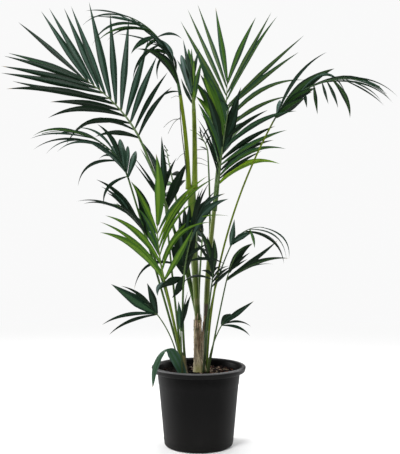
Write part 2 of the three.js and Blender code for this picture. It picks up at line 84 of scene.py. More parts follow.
STEMS = {
    "trunk": dict(foot=(3, 0, GROUND), length=134, lean=(-5, 0), radius=(14.5, 8.6, 8)),
    "sheath": dict(foot=(-2.5, 0, 322.6), length=332, lean=(-3, -2.5), radius=(8, 10, 11)),
    "stem_right": dict(foot=(18, 25, GROUND), length=412, lean=(-1, 7), radius=(8.5, 7.6, 5.6)),
    "stem_left": dict(foot=(-41, -15, GROUND), length=52, lean=(-3, -8), radius=(9.5, 8, 7.5)),
    "stem_front_left": dict(foot=(-38, -46, GROUND), length=50, lean=(-2, -6), radius=(11, 9.5, 8.5)),
}

# One row per frond. `lean` and `away` are given at the foot of the stalk, at the foot of the
# blade and at the blade's tip. `roll` turns the blade about its rib, and a `curl` over 1 bends
# it later. `colour` is the stalk's, and the rib's too where there is no `rib_colour`.
#
# `left` and `right` list the leaflets of each side: the square of the camera's frame in which
# the tip is seen, how far the middle is arched above the straight line to the tip, how wide the
# leaflet is, both in squares, and the letter of its tint. A sixth value is how many squares its
# end bends away behind, so that without an arch it is seen cut short. `joined` says where on
# the blade they stand, as shares of its length. Without it they stand evenly along it.
FRONDS = [
    dict(name="upper_left", foot=(-2, 0, 322), stalk=487, blade=255, radius=(4.6, 3.2),
         lean=(-12, -24, -58), curl=0.75, away=(4, 12, 22),
         left=((95, 137, 5, 5.5, "n"), (66, 145, 18, 5.5, "n"), (76, 129, 6, 5.5, "n"),
               (48, 118, 9, 7, "n"), (50, 102, 3, 7, "n"), (6, 89, 6, 7.5, "n"), (12, 81, -1, 6, "d"),
               (1, 73, 2, 7, "d"), (1, 66, 2, 7, "d"), (4, 56, 2, 6, "d"), (8, 53, 2, 6, "l")),
         right=((172, 87, 4, 5.5, "d"), (168, 72, 2, 5.5, "d"), (157, 56, 1, 7.5, "s"),
                (149, 38, 0, 7.5, "s"), (129, 17, 0, 7.5, "s"), (110, 12, 0, 7.5, "s"),
                (89, 2, 0, 8, "s"), (71, 6, 0, 7, "s"), (64, 8, 0, 7, "s"), (49, 8, 0, 7, "s"),
                (41, 11, 0, 7, "s"), (18, 22, 1, 6, "d"))),
    dict(name="crest", foot=(-25.5, -3, 654.6), stalk=238, blade=270, radius=(6.2, 4.2),
         rib_colour="dark", lean=(-1, -9, -84), curl=1.5, away=(-5, -10, -18), roll=-60, colour="lime",
         left=((158, 102, 4, 2.6, "d"), (136, 49, 9, 7.5, "p"), (145, 51, 6, 6.5, "p"),
               (158, 80, 4, 3, "d"), (150, 44, 6, 5, "d"), (149, 33, 2, 6, "s"), (133, 80, 6, 4, "d"),
               (147, 53, 3, 4, "p"), (131, 54, 3, 6, "l"), (117, 34, 1, 1.8, "s"), (146, 50, 2, 4, "p"),
               (107, 41, 7, 2.8, "p"), (97, 42, 6.5, 3, "g"), (92, 46, 11, 3.2, "l"),
               (88, 17, 1.4, 1.5, "s"), (82, 26, 6, 2.2, "s"), (85, 11, 1.2, 1.7, "s")),
         right=((169, 51, 3, 2.6, "d"), (160.5, 39.5, 3.5, 7, "m"), (141, 23, 1, 5, "s"),
                (128, 16.5, 1, 4.5, "s"), (182, 39, 5, 3, "s"), (115, 13.5, 1.5, 3, "s"),
                (104, 15.5, 1.5, 2, "s")),
         joined=((0.03, 0.08, 0.16, 0.42, 0.25, 0.35, 0.5, 0.38, 0.58, 0.47, 0.55, 0.63, 0.66, 0.7,
                  0.72, 0.85, 0.9),
                 (0.2, 0.3, 0.4, 0.5, 0.57, 0.6, 0.75))),
    dict(name="spear", foot=(-10.5, 3, 654.6), stalk=202, blade=110, radius=(7.2, 5.2),
         lean=(1, -2, -10), away=(5, 10, 18), colour="lime",
         left=((181, 78, -1, 4, "d"), (177, 60, 2, 7, "m", 14), (181, 55, 0, 8, "m", 14),
               (186, 53, 0, 7, "d", 8), (183, 39, 0, 4, "s"), (188.5, 49, 0, 5, "g", 8),
               (185, 66, 1, 5, "n")),
         right=((200, 66, 1, 6, "f"), (203, 57, 1, 5, "g"), (199.5, 48, 1, 4, "s"),
                (194, 58, 0, 6, "f"), (191.5, 48, 0, 6, "g")),
         joined=((0.12, 0.22, 0.28, 0.34, 0.75, 0.45, 0.2),
                 (0.14, 0.22, 0.6, 0.3, 0.4))),
    dict(name="upper_right", foot=(33, 27, 515), stalk=287, blade=155, radius=(4, 2.8), lean=(3, 9, 1),
         away=(9, 14, 20),
         left=((195.5, 96, 2, 10, "f"), (194, 80, 1, 10, "g"), (200, 74, 1, 9, "g"),
               (197, 55, 1, 11, "g"), (180.5, 21, 0, 6, "o"), (187.5, 9, 0, 5, "o"),
               (197.5, 4, 0, 5, "o"), (215.5, 7, 0, 6.5, "g")),
         right=((290, 96, 6, 5, "o"), (305, 80, 13, 5, "o"), (299, 52, 2, 5.5, "o"),
                (304, 35.5, 1, 5, "o"), (277.5, 16, 3, 5, "g"), (271.5, 12, 0, 5, "o"),
                (256, 17, 1.5, 6.5, "g")),
         joined=((0.05, 0.15, 0.25, 0.4, 0.57, 0.7, 0.85, 0.97),
                 (0.05, 0.17, 0.45, 0.5, 0.62, 0.75, 0.92))),
    dict(name="centre_right", foot=(40, 25, 600.2), stalk=62, blade=225, radius=(5.2, 3.4),
         lean=(12, 5, 10), away=(-10, -14, -26),
         left=((199, 127, 3, 2.6, "n"), (197, 118, 3, 2.6, "n"), (200, 112, 3, 3, "n"),
               (198, 103, 2, 8, "g"), (204, 88, 2, 9, "d"), (203, 74, 1, 10, "f"), (211, 80, 1, 9, "g"),
               (219, 98, 0, 6, "l")),
         right=((280, 164, 11, 7, "b"), (262, 151, 2, 4, "n"), (286, 149, 11, 6, "g"),
                (274, 140, 5, 6, "n"), (287, 130, 4, 6, "g"), (275.5, 126, 3, 6, "n"),
                (239, 99, -1, 9, "d"), (297, 111, 8, 6, "l"), (241, 87, 0, 10, "d"),
                (268, 110, 2, 5, "n")),
         joined=((0.1, 0.17, 0.25, 0.33, 0.42, 0.58, 0.72, 0.9),
                 (0.03, 0.09, 0.12, 0.18, 0.25, 0.31, 0.37, 0.42, 0.47, 0.54))),
    dict(name="rear_thin", foot=(27, 30, 440), stalk=325, blade=100, radius=(3, 2), lean=(2, -3, -70),
         away=(15, 22, 36), roll=-60,
         left=((199, 147, 1, 1.6, "d"), (197, 138, 1, 1.6, "n"), (198, 131, 1, 1.6, "n"),
               (199, 126, 1, 1.6, "d")),
         right=((213, 134, 1, 2, "n"), (211, 126, 1, 1.6, "n")),
         joined=((0.1, 0.35, 0.5, 0.6),
                 (0.3, 0.5))),
    dict(name="far_right", foot=(21, 8, GROUND), stalk=665, blade=300, radius=(2.9, 2.1),
         rib_colour="dark", lean=(1, 28, 118), away=(0, -11, -22), roll=62, colour="lime",
         left=((280, 100, 0, 5, "m", 12), (327, 52, 8.5, 4.5, "d"), (334.5, 68.5, 5, 12, "p"),
               (312, 92, 3, 9, "p"), (347, 97, 21, 3.6, "s"), (387.5, 95, 15, 4.5, "p"),
               (393, 103, 11, 2.4, "d"), (398, 97, 11, 1.8, "d"), (384.5, 106, 3, 1.8, "d"),
               (390, 100, 5, 1.6, "s")),
         right=((305, 98, 1, 11, "p"), (316, 88, 2, 9, "p"), (307, 108, 0, 3.6, "d"),
                (317.5, 114.5, 0, 4, "p"), (328.5, 104.5, 0, 3, "d"), (338, 108, 0.5, 3.4, "d"),
                (350, 118, 3, 5.5, "p"), (381, 101, 2, 1.6, "d"), (386, 95, 3, 1.6, "s")),
         joined=((0.05, 0.06, 0.12, 0.08, 0.32, 0.38, 0.5, 0.55, 0.68, 0.74),
                 (0.03, 0.12, 0.36, 0.45, 0.52, 0.56, 0.61, 0.7, 0.8))),
    dict(name="far_left", foot=(-46, -18, 228), stalk=474, blade=265, radius=(3.0, 2.3),
         rib_colour="dark", lean=(-15, -16, -108), away=(-3, -14, -22), roll=-60,
         left=((104, 206, 8, 4, "d"), (97, 148, 4, 6, "s"), (85, 141, 3, 5.5, "s"),
               (78, 186, 11, 4, "d"), (99, 159, 4, 3, "s"), (57, 152, 9, 3, "s"),
               (33, 150, 9, 2.6, "d"), (46, 154, 9, 2.2, "s"), (30, 139, 5, 2.2, "s"),
               (33, 136, 7, 4, "g")),
         right=((136, 151, 0, 7, "s", 30), (128, 146, 0, 6, "s", 20), (120, 139, 0, 8, "s", 35),
                (112, 146, 0, 8, "s", 15), (97, 124, 5, 5.5, "d"), (75, 128, 9, 3, "s"),
                (55, 135, 7, 4, "d")),
         joined=((0.03, 0.06, 0.15, 0.19, 0.21, 0.32, 0.37, 0.4, 0.5, 0.52),
                 (0.02, 0.06, 0.1, 0.14, 0.17, 0.25, 0.42))),
    dict(name="left", foot=(-45, -41, 222), stalk=333, blade=125, radius=(3.2, 2.4),
         lean=(-8, -21, -56), away=(-2, -22, -30), roll=-25,
         left=((113, 203.5, 6, 6, "n"), (118, 206, 4, 6, "n"), (76.5, 201.5, 7.5, 3, "d"),
               (83, 204, 6, 3, "d")),
         right=((131, 182, 6.5, 12, "p"), (96, 179.5, 7, 6, "n"), (101, 186.5, 4, 4, "d"),
                (107, 193, 3, 4.5, "n"), (110, 191, 3, 2.5, "s")),
         joined=((0.05, 0.2, 0.5, 0.6),
                 (0.02, 0.3, 0.42, 0.5, 0.6))),
    dict(name="left_bright", foot=(-42, -53, 222), stalk=212, blade=150, radius=(3.4, 2.8),
         lean=(-10, -13, 0), away=(-6, -10, -20), colour="lime",
         left=((158, 296, 3, 5, "m"), (100, 232.5, 10, 10, "f"), (100, 222, 7, 6, "f"),
               (105, 215.5, 9, 7, "f"), (105, 202, 10, 6.5, "g"), (136, 206, 3, 6, "g"),
               (131, 181, 2, 6, "f"), (156, 153.5, 3, 11.5, "f")),
         right=((193, 228.5, -0.5, 7, "f", -26), (213, 222, 14, 5.5, "f", -26),
                (229, 216, 18, 4.2, "f", -24), (200, 198.5, 8, 3.6, "f", -14),
                (216, 177.5, 10, 5.4, "f"), (208.5, 175.5, 7, 5, "b"), (189, 189, 3, 3.6, "g")),
         joined=((0, 0.02, 0.14, 0.29, 0.44, 0.56, 0.81, 0.96),
                 (0.02, 0.19, 0.3, 0.44, 0.56, 0.68, 0.83))),
    dict(name="left_inner", foot=(-44, -10, 225), stalk=386, blade=90, radius=(3.2, 2.4),
         lean=(-7, -6, 2), away=(13, 18, 28),
         left=((134, 163, 1, 3, "n"), (134, 157, 1, 3, "n"), (140, 148, 1.5, 3.5, "g"),
               (141, 141, 3.5, 7, "d"), (161.5, 136, 0, 6.5, "d")),
         right=((187, 162.5, 1, 11, "n"), (186, 167, 0, 10, "p"), (176.5, 158, 2, 4, "n")),
         joined=((0.1, 0.2, 0.35, 0.45, 0.65),
                 (0.05, 0.2, 0.7))),
    dict(name="heart", foot=(-34, -44, 222), stalk=203, blade=150, radius=(3.2, 2.6), lean=(-5, 3, 18),
         away=(-6, -18, -32),
         left=((172, 298, -2, 9, "n"), (160, 289, 2, 9, "n"), (134, 290, 17, 3.5, "n", 6),
               (170, 243, 1, 11, "n", 14), (174, 228, 0.5, 12, "n", 16), (179, 216, 0.5, 11, "d", 20),
               (184, 206, 0.5, 11, "n", 22), (190, 203, 0.5, 9, "d", 16)),
         right=((225, 264, 4.5, 4, "n"), (207, 244, 1, 4.5, "n"), (196, 228, -0.5, 9, "n", 10),
                (192, 218, 0.5, 9, "n", 14), (195, 210, 0.5, 8, "d", 12), (228.5, 199, 9, 11, "s", 10),
                (225.5, 193.5, 10, 10, "s", 12), (217, 190, 5, 4, "d", 12), (209, 183, 3, 4, "n", 12),
                (203, 188, 2, 4, "d", 12), (199.5, 190, 1, 4, "n", 12)),
         joined=((0.18, 0.12, 0.32, 0.18, 0.24, 0.32, 0.45, 0.6),
                 (0.42, 0.5, 0.16, 0.3, 0.5, 0.8, 0.85, 0.9, 0.93, 0.95, 0.97))),
    dict(name="right_inner", foot=(12, -22, GROUND), stalk=218, blade=100, radius=(2.5, 2),
         lean=(3, 7, 4), away=(0, -16, -34), colour="dark",
         left=((180, 287, 7, 3, "n", 30), (201, 271, 3, 4, "n"), (194, 239, 1, 3.5, "n"),
               (199.5, 228, 2, 8, "p"), (207, 236, 1, 8, "p")),
         right=((235, 266, 1, 4.5, "n"), (231, 267, 2, 4, "n"), (229, 266, 3, 3, "n"),
                (225, 268, 5, 3, "n"), (214, 238, -1, 8, "p")),
         joined=((0.3, 0.35, 0.6, 0.5, 0.4),
                 (0.08, 0.2, 0.3, 0.38, 0.45))),
    dict(name="low_right", foot=(24, -6, GROUND), stalk=237, blade=70, radius=(2.3, 1.7),
         lean=(10, 12, 26), away=(0, -8, -18), roll=10,
         left=((253, 243.5, 4, 9, "p"), (252.5, 243.5, 5, 5, "p")),
         right=((289, 258.5, 7.5, 6.5, "p"), (278, 240, -1, 5.5, "n"), (273, 264, 5, 2, "s"),
                (250, 252.5, 1, 4, "n"), (248, 259, 1, 2.5, "n")),
         joined=((0.35, 0.45),
                 (0.05, 0.15, 0.1, 0.45, 0.4))),
    dict(name="low_right_rear", foot=(22, 24, 290), stalk=230, blade=130, radius=(2.3, 1.7),
         lean=(6, 26, 100), away=(4, 24, 36), roll=60, colour="dark",
         left=((234.5, 219, 0, 6.5, "s"), (256, 231.5, 3, 8, "s"), (284, 264, 11, 4, "n"),
               (286.5, 260, 12, 2, "s")),
         right=((250, 233, 1, 7, "s"), (254.5, 248, 1, 3.5, "g"), (289, 259, 10, 2, "s")),
         joined=((0.02, 0.06, 0.5, 0.6),
                 (0.12, 0.62, 0.9))),
    dict(name="young_left", foot=(-47, -66, GROUND), stalk=172, blade=45, radius=(1.9, 1.4),
         rib_colour="dark", lean=(-2, -36, -56), away=(-3, -12, -16),
         left=((109, 335, 5, 4, "n"), (102, 325, 5.5, 4.5, "d")),
         right=((147, 283, 1, 8, "d"), (111, 284, 0, 12, "l"), (121, 286, 5, 4, "n")),
         joined=((0, 0.05),
                 (0, 0.03, 0.12))),
    dict(name="young_right", foot=(22, -31, GROUND), stalk=134, blade=40, radius=(1.9, 1.4),
         rib_colour="dark", lean=(3, 28, 40), away=(-3, -14, -16),
         left=((234, 315, 3, 8, "n"), (254, 301, 0.5, 6, "d")),
         right=((250, 336, 4, 3.5, "d"), (251, 326.5, 4.5, 3, "n"), (237, 315, 2, 5, "d")),
         joined=((0, 0.1),
                 (0, 0.05, 0.2))),
    dict(name="young_pair", foot=(-40, -72, GROUND), stalk=112, blade=14, radius=(2.2, 1.8),
         lean=(-3, -1, 0), away=(0, -4, -6),
         left=((178.5, 301, 0, 7.5, "l"), (188, 291, 1, 2, "n")),
         right=((191, 294.5, 1, 5.5, "n"),)),
    dict(name="rear_left", foot=(-5, 6, 330), stalk=322, blade=250, radius=(3.8, 2.8),
         lean=(-10, -11, -16), away=(14, 26, 78),
         left=((160, 196, 1, 6, "l", 25), (157, 184, 1, 6, "g", 30), (160, 174, 1, 5, "l", 35),
               (163.5, 161, 0, 1.2, "n", 40), (163.5, 154, 0, 1.2, "n", 40),
               (164, 149, 0, 1.2, "d", 40), (164, 145, 0, 1.2, "n", 35)),
         right=((186, 180, 1, 6, "n", 25), (184, 174, 1, 5, "n", 30), (171, 164, 0, 1.2, "d", 40),
                (169.5, 156, 0, 1.2, "n", 40), (168, 151, 0, 1.2, "n", 40))),
    dict(name="rear_right", foot=(20, 31, 335), stalk=404, blade=240, radius=(3.8, 2.8),
         lean=(3, 6, 16), away=(14, 22, 80),
         left=((208, 112, 1, 6, "l", 25), (207, 105, 1, 6, "g", 30), (209, 100, 1, 6, "l", 35),
               (213, 97, 0.5, 6, "g", 35), (217, 100, 0.5, 6, "l", 35), (220, 104, 0.5, 5, "l", 30),
               (224, 107, 0.5, 5, "g", 25)),
         right=((240, 132, 1, 6, "l", 25), (244, 126, 1, 6, "g", 30), (246, 121, 1, 6, "l", 35),
                (243, 114, 0.5, 6, "l", 35), (240, 108, 0.5, 6, "g", 35), (235, 107, 0.5, 5, "l", 30),
                (230, 106, 0.5, 5, "l", 25))),
    dict(name="rear_low", foot=(-2, 6, 262), stalk=225, blade=230, radius=(3.4, 2.6), lean=(0, 4, 8),
         away=(18, 38, 104),
         left=((178, 246, 1, 6, "n", 20), (182, 238, 1, 6, "d", 25), (184, 232, 1, 6, "n", 30),
               (187, 227, 0.5, 6, "d", 35), (190, 222, 0.5, 6, "n", 35), (193, 218, 0.5, 5, "n", 30),
               (196, 215, 0.5, 5, "d", 25)),
         right=((207, 251, 1, 5, "n", 25), (205, 243, 1, 5, "n", 35), (199, 225, 1, 4, "n", 40),
                (198, 217, 0.5, 4, "n", 40))),
]

# The fronds whose solid is two nodes, because they bend far round.
SPLIT_FRONDS = ("crest", "far_right", "far_left")

# The broad leaf that rises beside the trunk and folds over the pot's rim, from foot to tip:
# the squares of the camera's frame in which its outer and inner edges are seen, and their depth.
RIM_LEAF_EDGES = [
    ((187, 374), (179, 375), -72),
    ((185, 367), (175, 368), -76),
    ((182.5, 360), (171.5, 362), -80),
    ((179.5, 354), (168.5, 357), -84),
    ((176, 350), (167.5, 353.5), -88),
    ((172, 348), (166.5, 351.5), -91),
    ((167, 348.5), (165, 352), -92),
    ((162, 351), (163.5, 355), -90),
    ((158, 355), (161.5, 358.5), -86),
    ((154.5, 361), (160, 363), -80),
    ((152.5, 366.5), (158, 368.5), -75),
    ((151.5, 372), (156, 374.5), -70),
    ((151.3, 378), (154.8, 380), -64),
    ((151.7, 384), (153.5, 385), -57),
    ((152.3, 388), (152.3, 388), -52),
]
RIM_LEAF = dict(
    steps=4,  # steps from one row to the next
    tilt=6,  # how much deeper its outer edge lies
    fold=0.22,  # how far its halves fall away from the midrib, as a share of their width
    pleat=0.4,
    full_relief=6,
    edge=0.5,  # its thickness at its edges, and how much more it has under the midrib
    keel=0.5,
)

# Shares of a leaflet's length at which its cross sections lie; its tip is a point.
SECTIONS = np.array([0, 0.03, 0.08, 0.15, 0.23, 0.32, 0.41, 0.5, 0.59, 0.68, 0.76, 0.83, 0.89, 0.94, 0.975])

# Places across a leaflet: over its upper face from one edge to the other, then back below.
UPPER_ACROSS = np.array([1, 0.62, 0.18, 0, -0.18, -0.62, -1])
LOWER_ACROSS = np.array([-0.6, 0, 0.6])
ACROSS = np.concatenate([UPPER_ACROSS, LOWER_ACROSS])

# Which of the places in ACROSS the midrib and the pleats have.
MIDRIB_AT = 3
PLEATS_AT = (1, 5)

LEAFLET = dict(
    root_half_width=1.0,
    twist=0.42,  # radians that it turns about its midrib at its foot, like a louvre
    untwist=0.3,  # radians that it turns back towards its tip
    fold=14,  # degrees that each half falls away from the midrib
    thickness=0.5,
    thinning=0.6,  # share of its thickness that it loses towards its tip
    full_relief=4,  # half width from which its ridges have their full height
    midrib=0.45,  # height of the ridge over the midrib
    pleat=0.22,  # height of the ridge half way to each edge
    steps=40,
)
LAID = dict(
    bend=0.58,  # share of its reach at which a laid leaflet bends down
    towards=0.12,  # share of its reach that a laid leaflet's tip comes forward
    rolled=0.5,  # the same where the frond is rolled on its side
    scatter=0.06,  # how far single leaflets depart from that
    least_flat=0.2,  # the least share of a rib's direction that is taken to lie across the view
)
SPREAD = dict(fold=4, twist=0.18)  # how far single leaflets depart from LEAFLET's fold and twist
PAIR_OFFSET = 0.15  # how far a leaflet stands from the middle of its share of the blade
DRY_TIPS = 0.6  # the chance above which a leaflet's tip is dry
WALK_STEP = 10  # step in which a centre line is walked

# ---------------------------------------------------------------- the growing rule


def chance(seed, step):
    """A number from -1 to 1 that is always the same for the same seed and step."""
    x = math.sin(seed * 12.9898 + step * 78.233) * 43758.5453
    return (x - math.floor(x)) * 2 - 1


def mix(a, b, t):
    """The value at a share t of the way from one to another."""
    return a + (b - a) * t


def bell(x, width):
    """A bump of height 1 about 0."""
    return np.exp(-(x / width) ** 2)


def unit(vector):
    """The same direction with a length of 1."""
    return vector / np.linalg.norm(vector, axis=-1, keepdims=True)


def through(values, t):
    """The smooth curve through three values that stand at t = 0, 0.5 and 1."""
    a, b, c = values
    return a * (1 - t) * (1 - 2 * t) + 4 * b * t * (1 - t) + c * t * (2 * t - 1)


def heading(lean, away):
    """The direction that has a lean and a tilt."""
    lean, away = math.radians(lean), math.radians(away)
    return np.array([math.sin(lean) * math.cos(away), math.sin(away), math.cos(lean) * math.cos(away)])


def bearing(frond, along):
    """The lean and tilt of a frond at a distance along its stalk and blade."""
    if along > frond["stalk"]:
        t = min(1, (along - frond["stalk"]) / frond["blade"]) ** frond.get("curl", 1)
        start = 1
    else:
        t = max(0, along) / frond["stalk"]
        start = 0
    return tuple(mix(frond[key][start], frond[key][start + 1], t) for key in ("lean", "away"))


def centre_line(frond):
    """The centre line of a frond, walked in short steps, as a function of the distance along it."""
    length = frond["stalk"] + frond["blade"]
    count = math.ceil(length / WALK_STEP)
    pace = length / count
    points = [np.array(frond["foot"], float)]
    for i in range(count):
        points.append(points[-1] + pace * heading(*bearing(frond, (i + 0.5) * pace)))
    points = np.array(points)
    marks = np.arange(count + 1) * pace
    return lambda along: np.array([np.interp(along, marks, points[:, axis]) for axis in range(3)])


def blade_frame(frond, along, turn=None):
    """The rib's direction, its right side and its upper face at a place along a frond.

    `turn` takes the place of the frond's own roll.
    """
    lean, away = bearing(frond, along)
    roll = math.radians(frond.get("roll", 0) if turn is None else turn)
    rib = heading(lean, away)
    side = np.array([math.cos(math.radians(lean)), 0, -math.sin(math.radians(lean))])
    face = np.cross(side, rib)
    return (
        rib,
        side * math.cos(roll) + face * math.sin(roll),
        face * math.cos(roll) - side * math.sin(roll),
    )


def leaflet_shape(u):
    """How wide a leaflet is at a share u of its length, as a share of its widest."""
    rising = 0.28 + 0.72 * np.sin((np.pi / 2) * np.minimum(u / 0.5, 1))
    return rising * (1 - (np.maximum(u - 0.42, 0) / 0.58) ** 1.15)


def seen_at(column, row, depth):
    """The place at a depth that the camera sees in a square of its frame."""
    tilt = math.radians(CAMERA["pitch"])
    wide, high = CAMERA["squares"]
    zoom = CAMERA["lens"] / CAMERA["sensor"] * high
    right, up = (column - wide / 2) / zoom, (high / 2 - row) / zoom
    ray = np.array([right, math.sin(tilt) + up * math.cos(tilt), up * math.sin(tilt) - math.cos(tilt)])
    start = np.array(CAMERA["place"])
    return start + ray * (depth - start[1]) / ray[1]


def square_at(depth):
    """The side of a square of the camera's frame at a depth."""
    return np.linalg.norm(seen_at(1, 0, depth) - seen_at(0, 0, depth))


# ---------------------------------------------------------------- meshes


class Pile:
    """Closed shapes that are gathered into one mesh."""

    def __init__(self):
        self.points = []
        self.faces = []
        self.kinds = []
        self.places = []
        self.count = 0

    def add(self, points, faces, kinds=0, places=None):
        """A shape, with one finish or one for each face, and where its points lie on a blade."""
        points = np.asarray(points, float)
        self.points.append(points)
        self.places.append(np.zeros((len(points), 2)) if places is None else np.asarray(places, float))
        self.faces.extend([tuple(corner + self.count for corner in face) for face in faces])
        self.kinds.extend([kinds] * len(faces) if np.isscalar(kinds) else list(kinds))
        self.count += len(points)

    def add_skin(self, rings, tip=None, kinds=0, places=None):
        """A closed skin over rings of equal count, which ends in a cap or in a point.

        `kinds` is one finish, or one for each stretch between rings and place round them.
        """
        rings = np.asarray(rings, float)
        layers, count = rings.shape[:2]
        kinds = np.broadcast_to(np.asarray(kinds), (layers, count))
        faces, tones = [], []
        for layer in range(layers - 1):
            for i in range(count):
                a, b = layer * count + i, layer * count + (i + 1) % count
                faces.append((a, b, b + count, a + count))
                tones.append(kinds[layer, i])
        faces.append(tuple(range(count - 1, -1, -1)))
        tones.append(kinds[0, 0])
        points = rings.reshape(-1, 3)
        last = (layers - 1) * count
        if tip is None:
            faces.append(tuple(range(last, last + count)))
            tones.append(kinds[-1, 0])
        else:
            points = np.vstack([points, tip])
            for i in range(count):
                faces.append((last + i, last + (i + 1) % count, len(points) - 1))
                tones.append(kinds[-1, i])
        self.add(points, faces, tones, places)


def make_piece(name, pile, finishes, slot, replaced=(), sharp=None):
    """A Blender object out of a pile, which rides with the plant.

    Edges that turn by more than `sharp` degrees are shaded as edges.
    """
    mesh = bpy.data.meshes.new(name)
    points = np.vstack(pile.points) * MM
    mesh.from_pydata(points.tolist(), [], pile.faces)
    for finish in finishes:
        mesh.materials.append(finish)
    mesh.polygons.foreach_set("material_index", np.array(pile.kinds, np.int32))
    mesh.polygons.foreach_set("use_smooth", np.ones(len(mesh.polygons), bool))
    corners = np.zeros(len(mesh.loops), np.int32)
    mesh.loops.foreach_get("vertex_index", corners)
    places = mesh.uv_layers.new(name="place")
    places.data.foreach_set("uv", np.vstack(pile.places)[corners].ravel())
    edit = bmesh.new()
    edit.from_mesh(mesh)
    bmesh.ops.recalc_face_normals(edit, faces=edit.faces)
    edit.to_mesh(mesh)
    edit.free()
    if sharp is not None:
        mesh.set_sharp_from_angle(angle=math.radians(sharp))
    mesh.update()
    piece = bpy.data.objects.new(name, mesh)
    bpy.context.scene.collection.objects.link(piece)
    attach(piece, "root")
    if replaced:
        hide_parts(*replaced)


def relief(x, y, z, scale, octaves=3):
    """Smooth noise at a place in millimetres, where `scale` is the size of its bumps."""
    return noise.fractal(Vector((x, y, z)) / scale, 1.0, 2.0, octaves)


def relief_round(turns, along, reach, pace, scale, octaves=3):
    """Smooth noise at each angle round a limb.

    It is taken from a circle of radius `reach`, which moves on by `pace` for each millimetre
    along the limb, so that a slow pace draws the bumps out.
    """
    circle = [(reach * math.cos(turn), reach * math.sin(turn)) for turn in turns]
    return np.array([relief(x, y, along * pace, scale, octaves) for x, y in circle])


# ---------------------------------------------------------------- shader maths


class Wire:
    """A socket that carries a number, which can be reckoned with."""

    def __init__(self, finish, socket):
        self.finish = finish
        self.socket = socket

    def math(self, operation, *others, swapped=False):
        """What an operation makes of this number and others, in this order or swapped."""
        values = (others[0], self, *others[1:]) if swapped else (self, *others)
        made = self.finish.node("ShaderNodeMath", dict(operation=operation), dict(enumerate(values)))
        return Wire(self.finish, made.outputs[0])

    def __add__(self, other):
        return self.math("ADD", other)

    def __mul__(self, other):
        return self.math("MULTIPLY", other)

    def __sub__(self, other):
        return self.math("SUBTRACT", other)

    def __rsub__(self, other):
        return self.math("SUBTRACT", other, swapped=True)

    def __pow__(self, other):
        return self.math("POWER", other)

    __radd__ = __add__
    __rmul__ = __mul__

    def wave(self):
        """A sine wave from 0 to 1."""
        return self.math("SINE") * 0.5 + 0.5

    def swing(self, width):
        """A value from 0 to 1 as one about 0, `width` from its lowest to its highest."""
        return (self - 0.5) * width

    def above(self, low, high):
        """0 below one value, 1 above the other, and a smooth rise between them."""
        values = {"Value": self, "From Min": low, "From Max": high}
        made = self.finish.node("ShaderNodeMapRange", dict(interpolation_type="SMOOTHSTEP"), values)
        return Wire(self.finish, made.outputs["Result"])

    def below(self, low, high):
        """1 below one value, 0 above the other, and a smooth fall between them."""
        return 1 - self.above(low, high)


def shade(colour, share):
    """A colour with a share of its brightness."""
    return tuple(channel * share for channel in colour)


def opaque(colour):
    """A colour for a socket: three numbers get an alpha, and a link stays as it is."""
    return (*colour, 1) if isinstance(colour, tuple) else colour


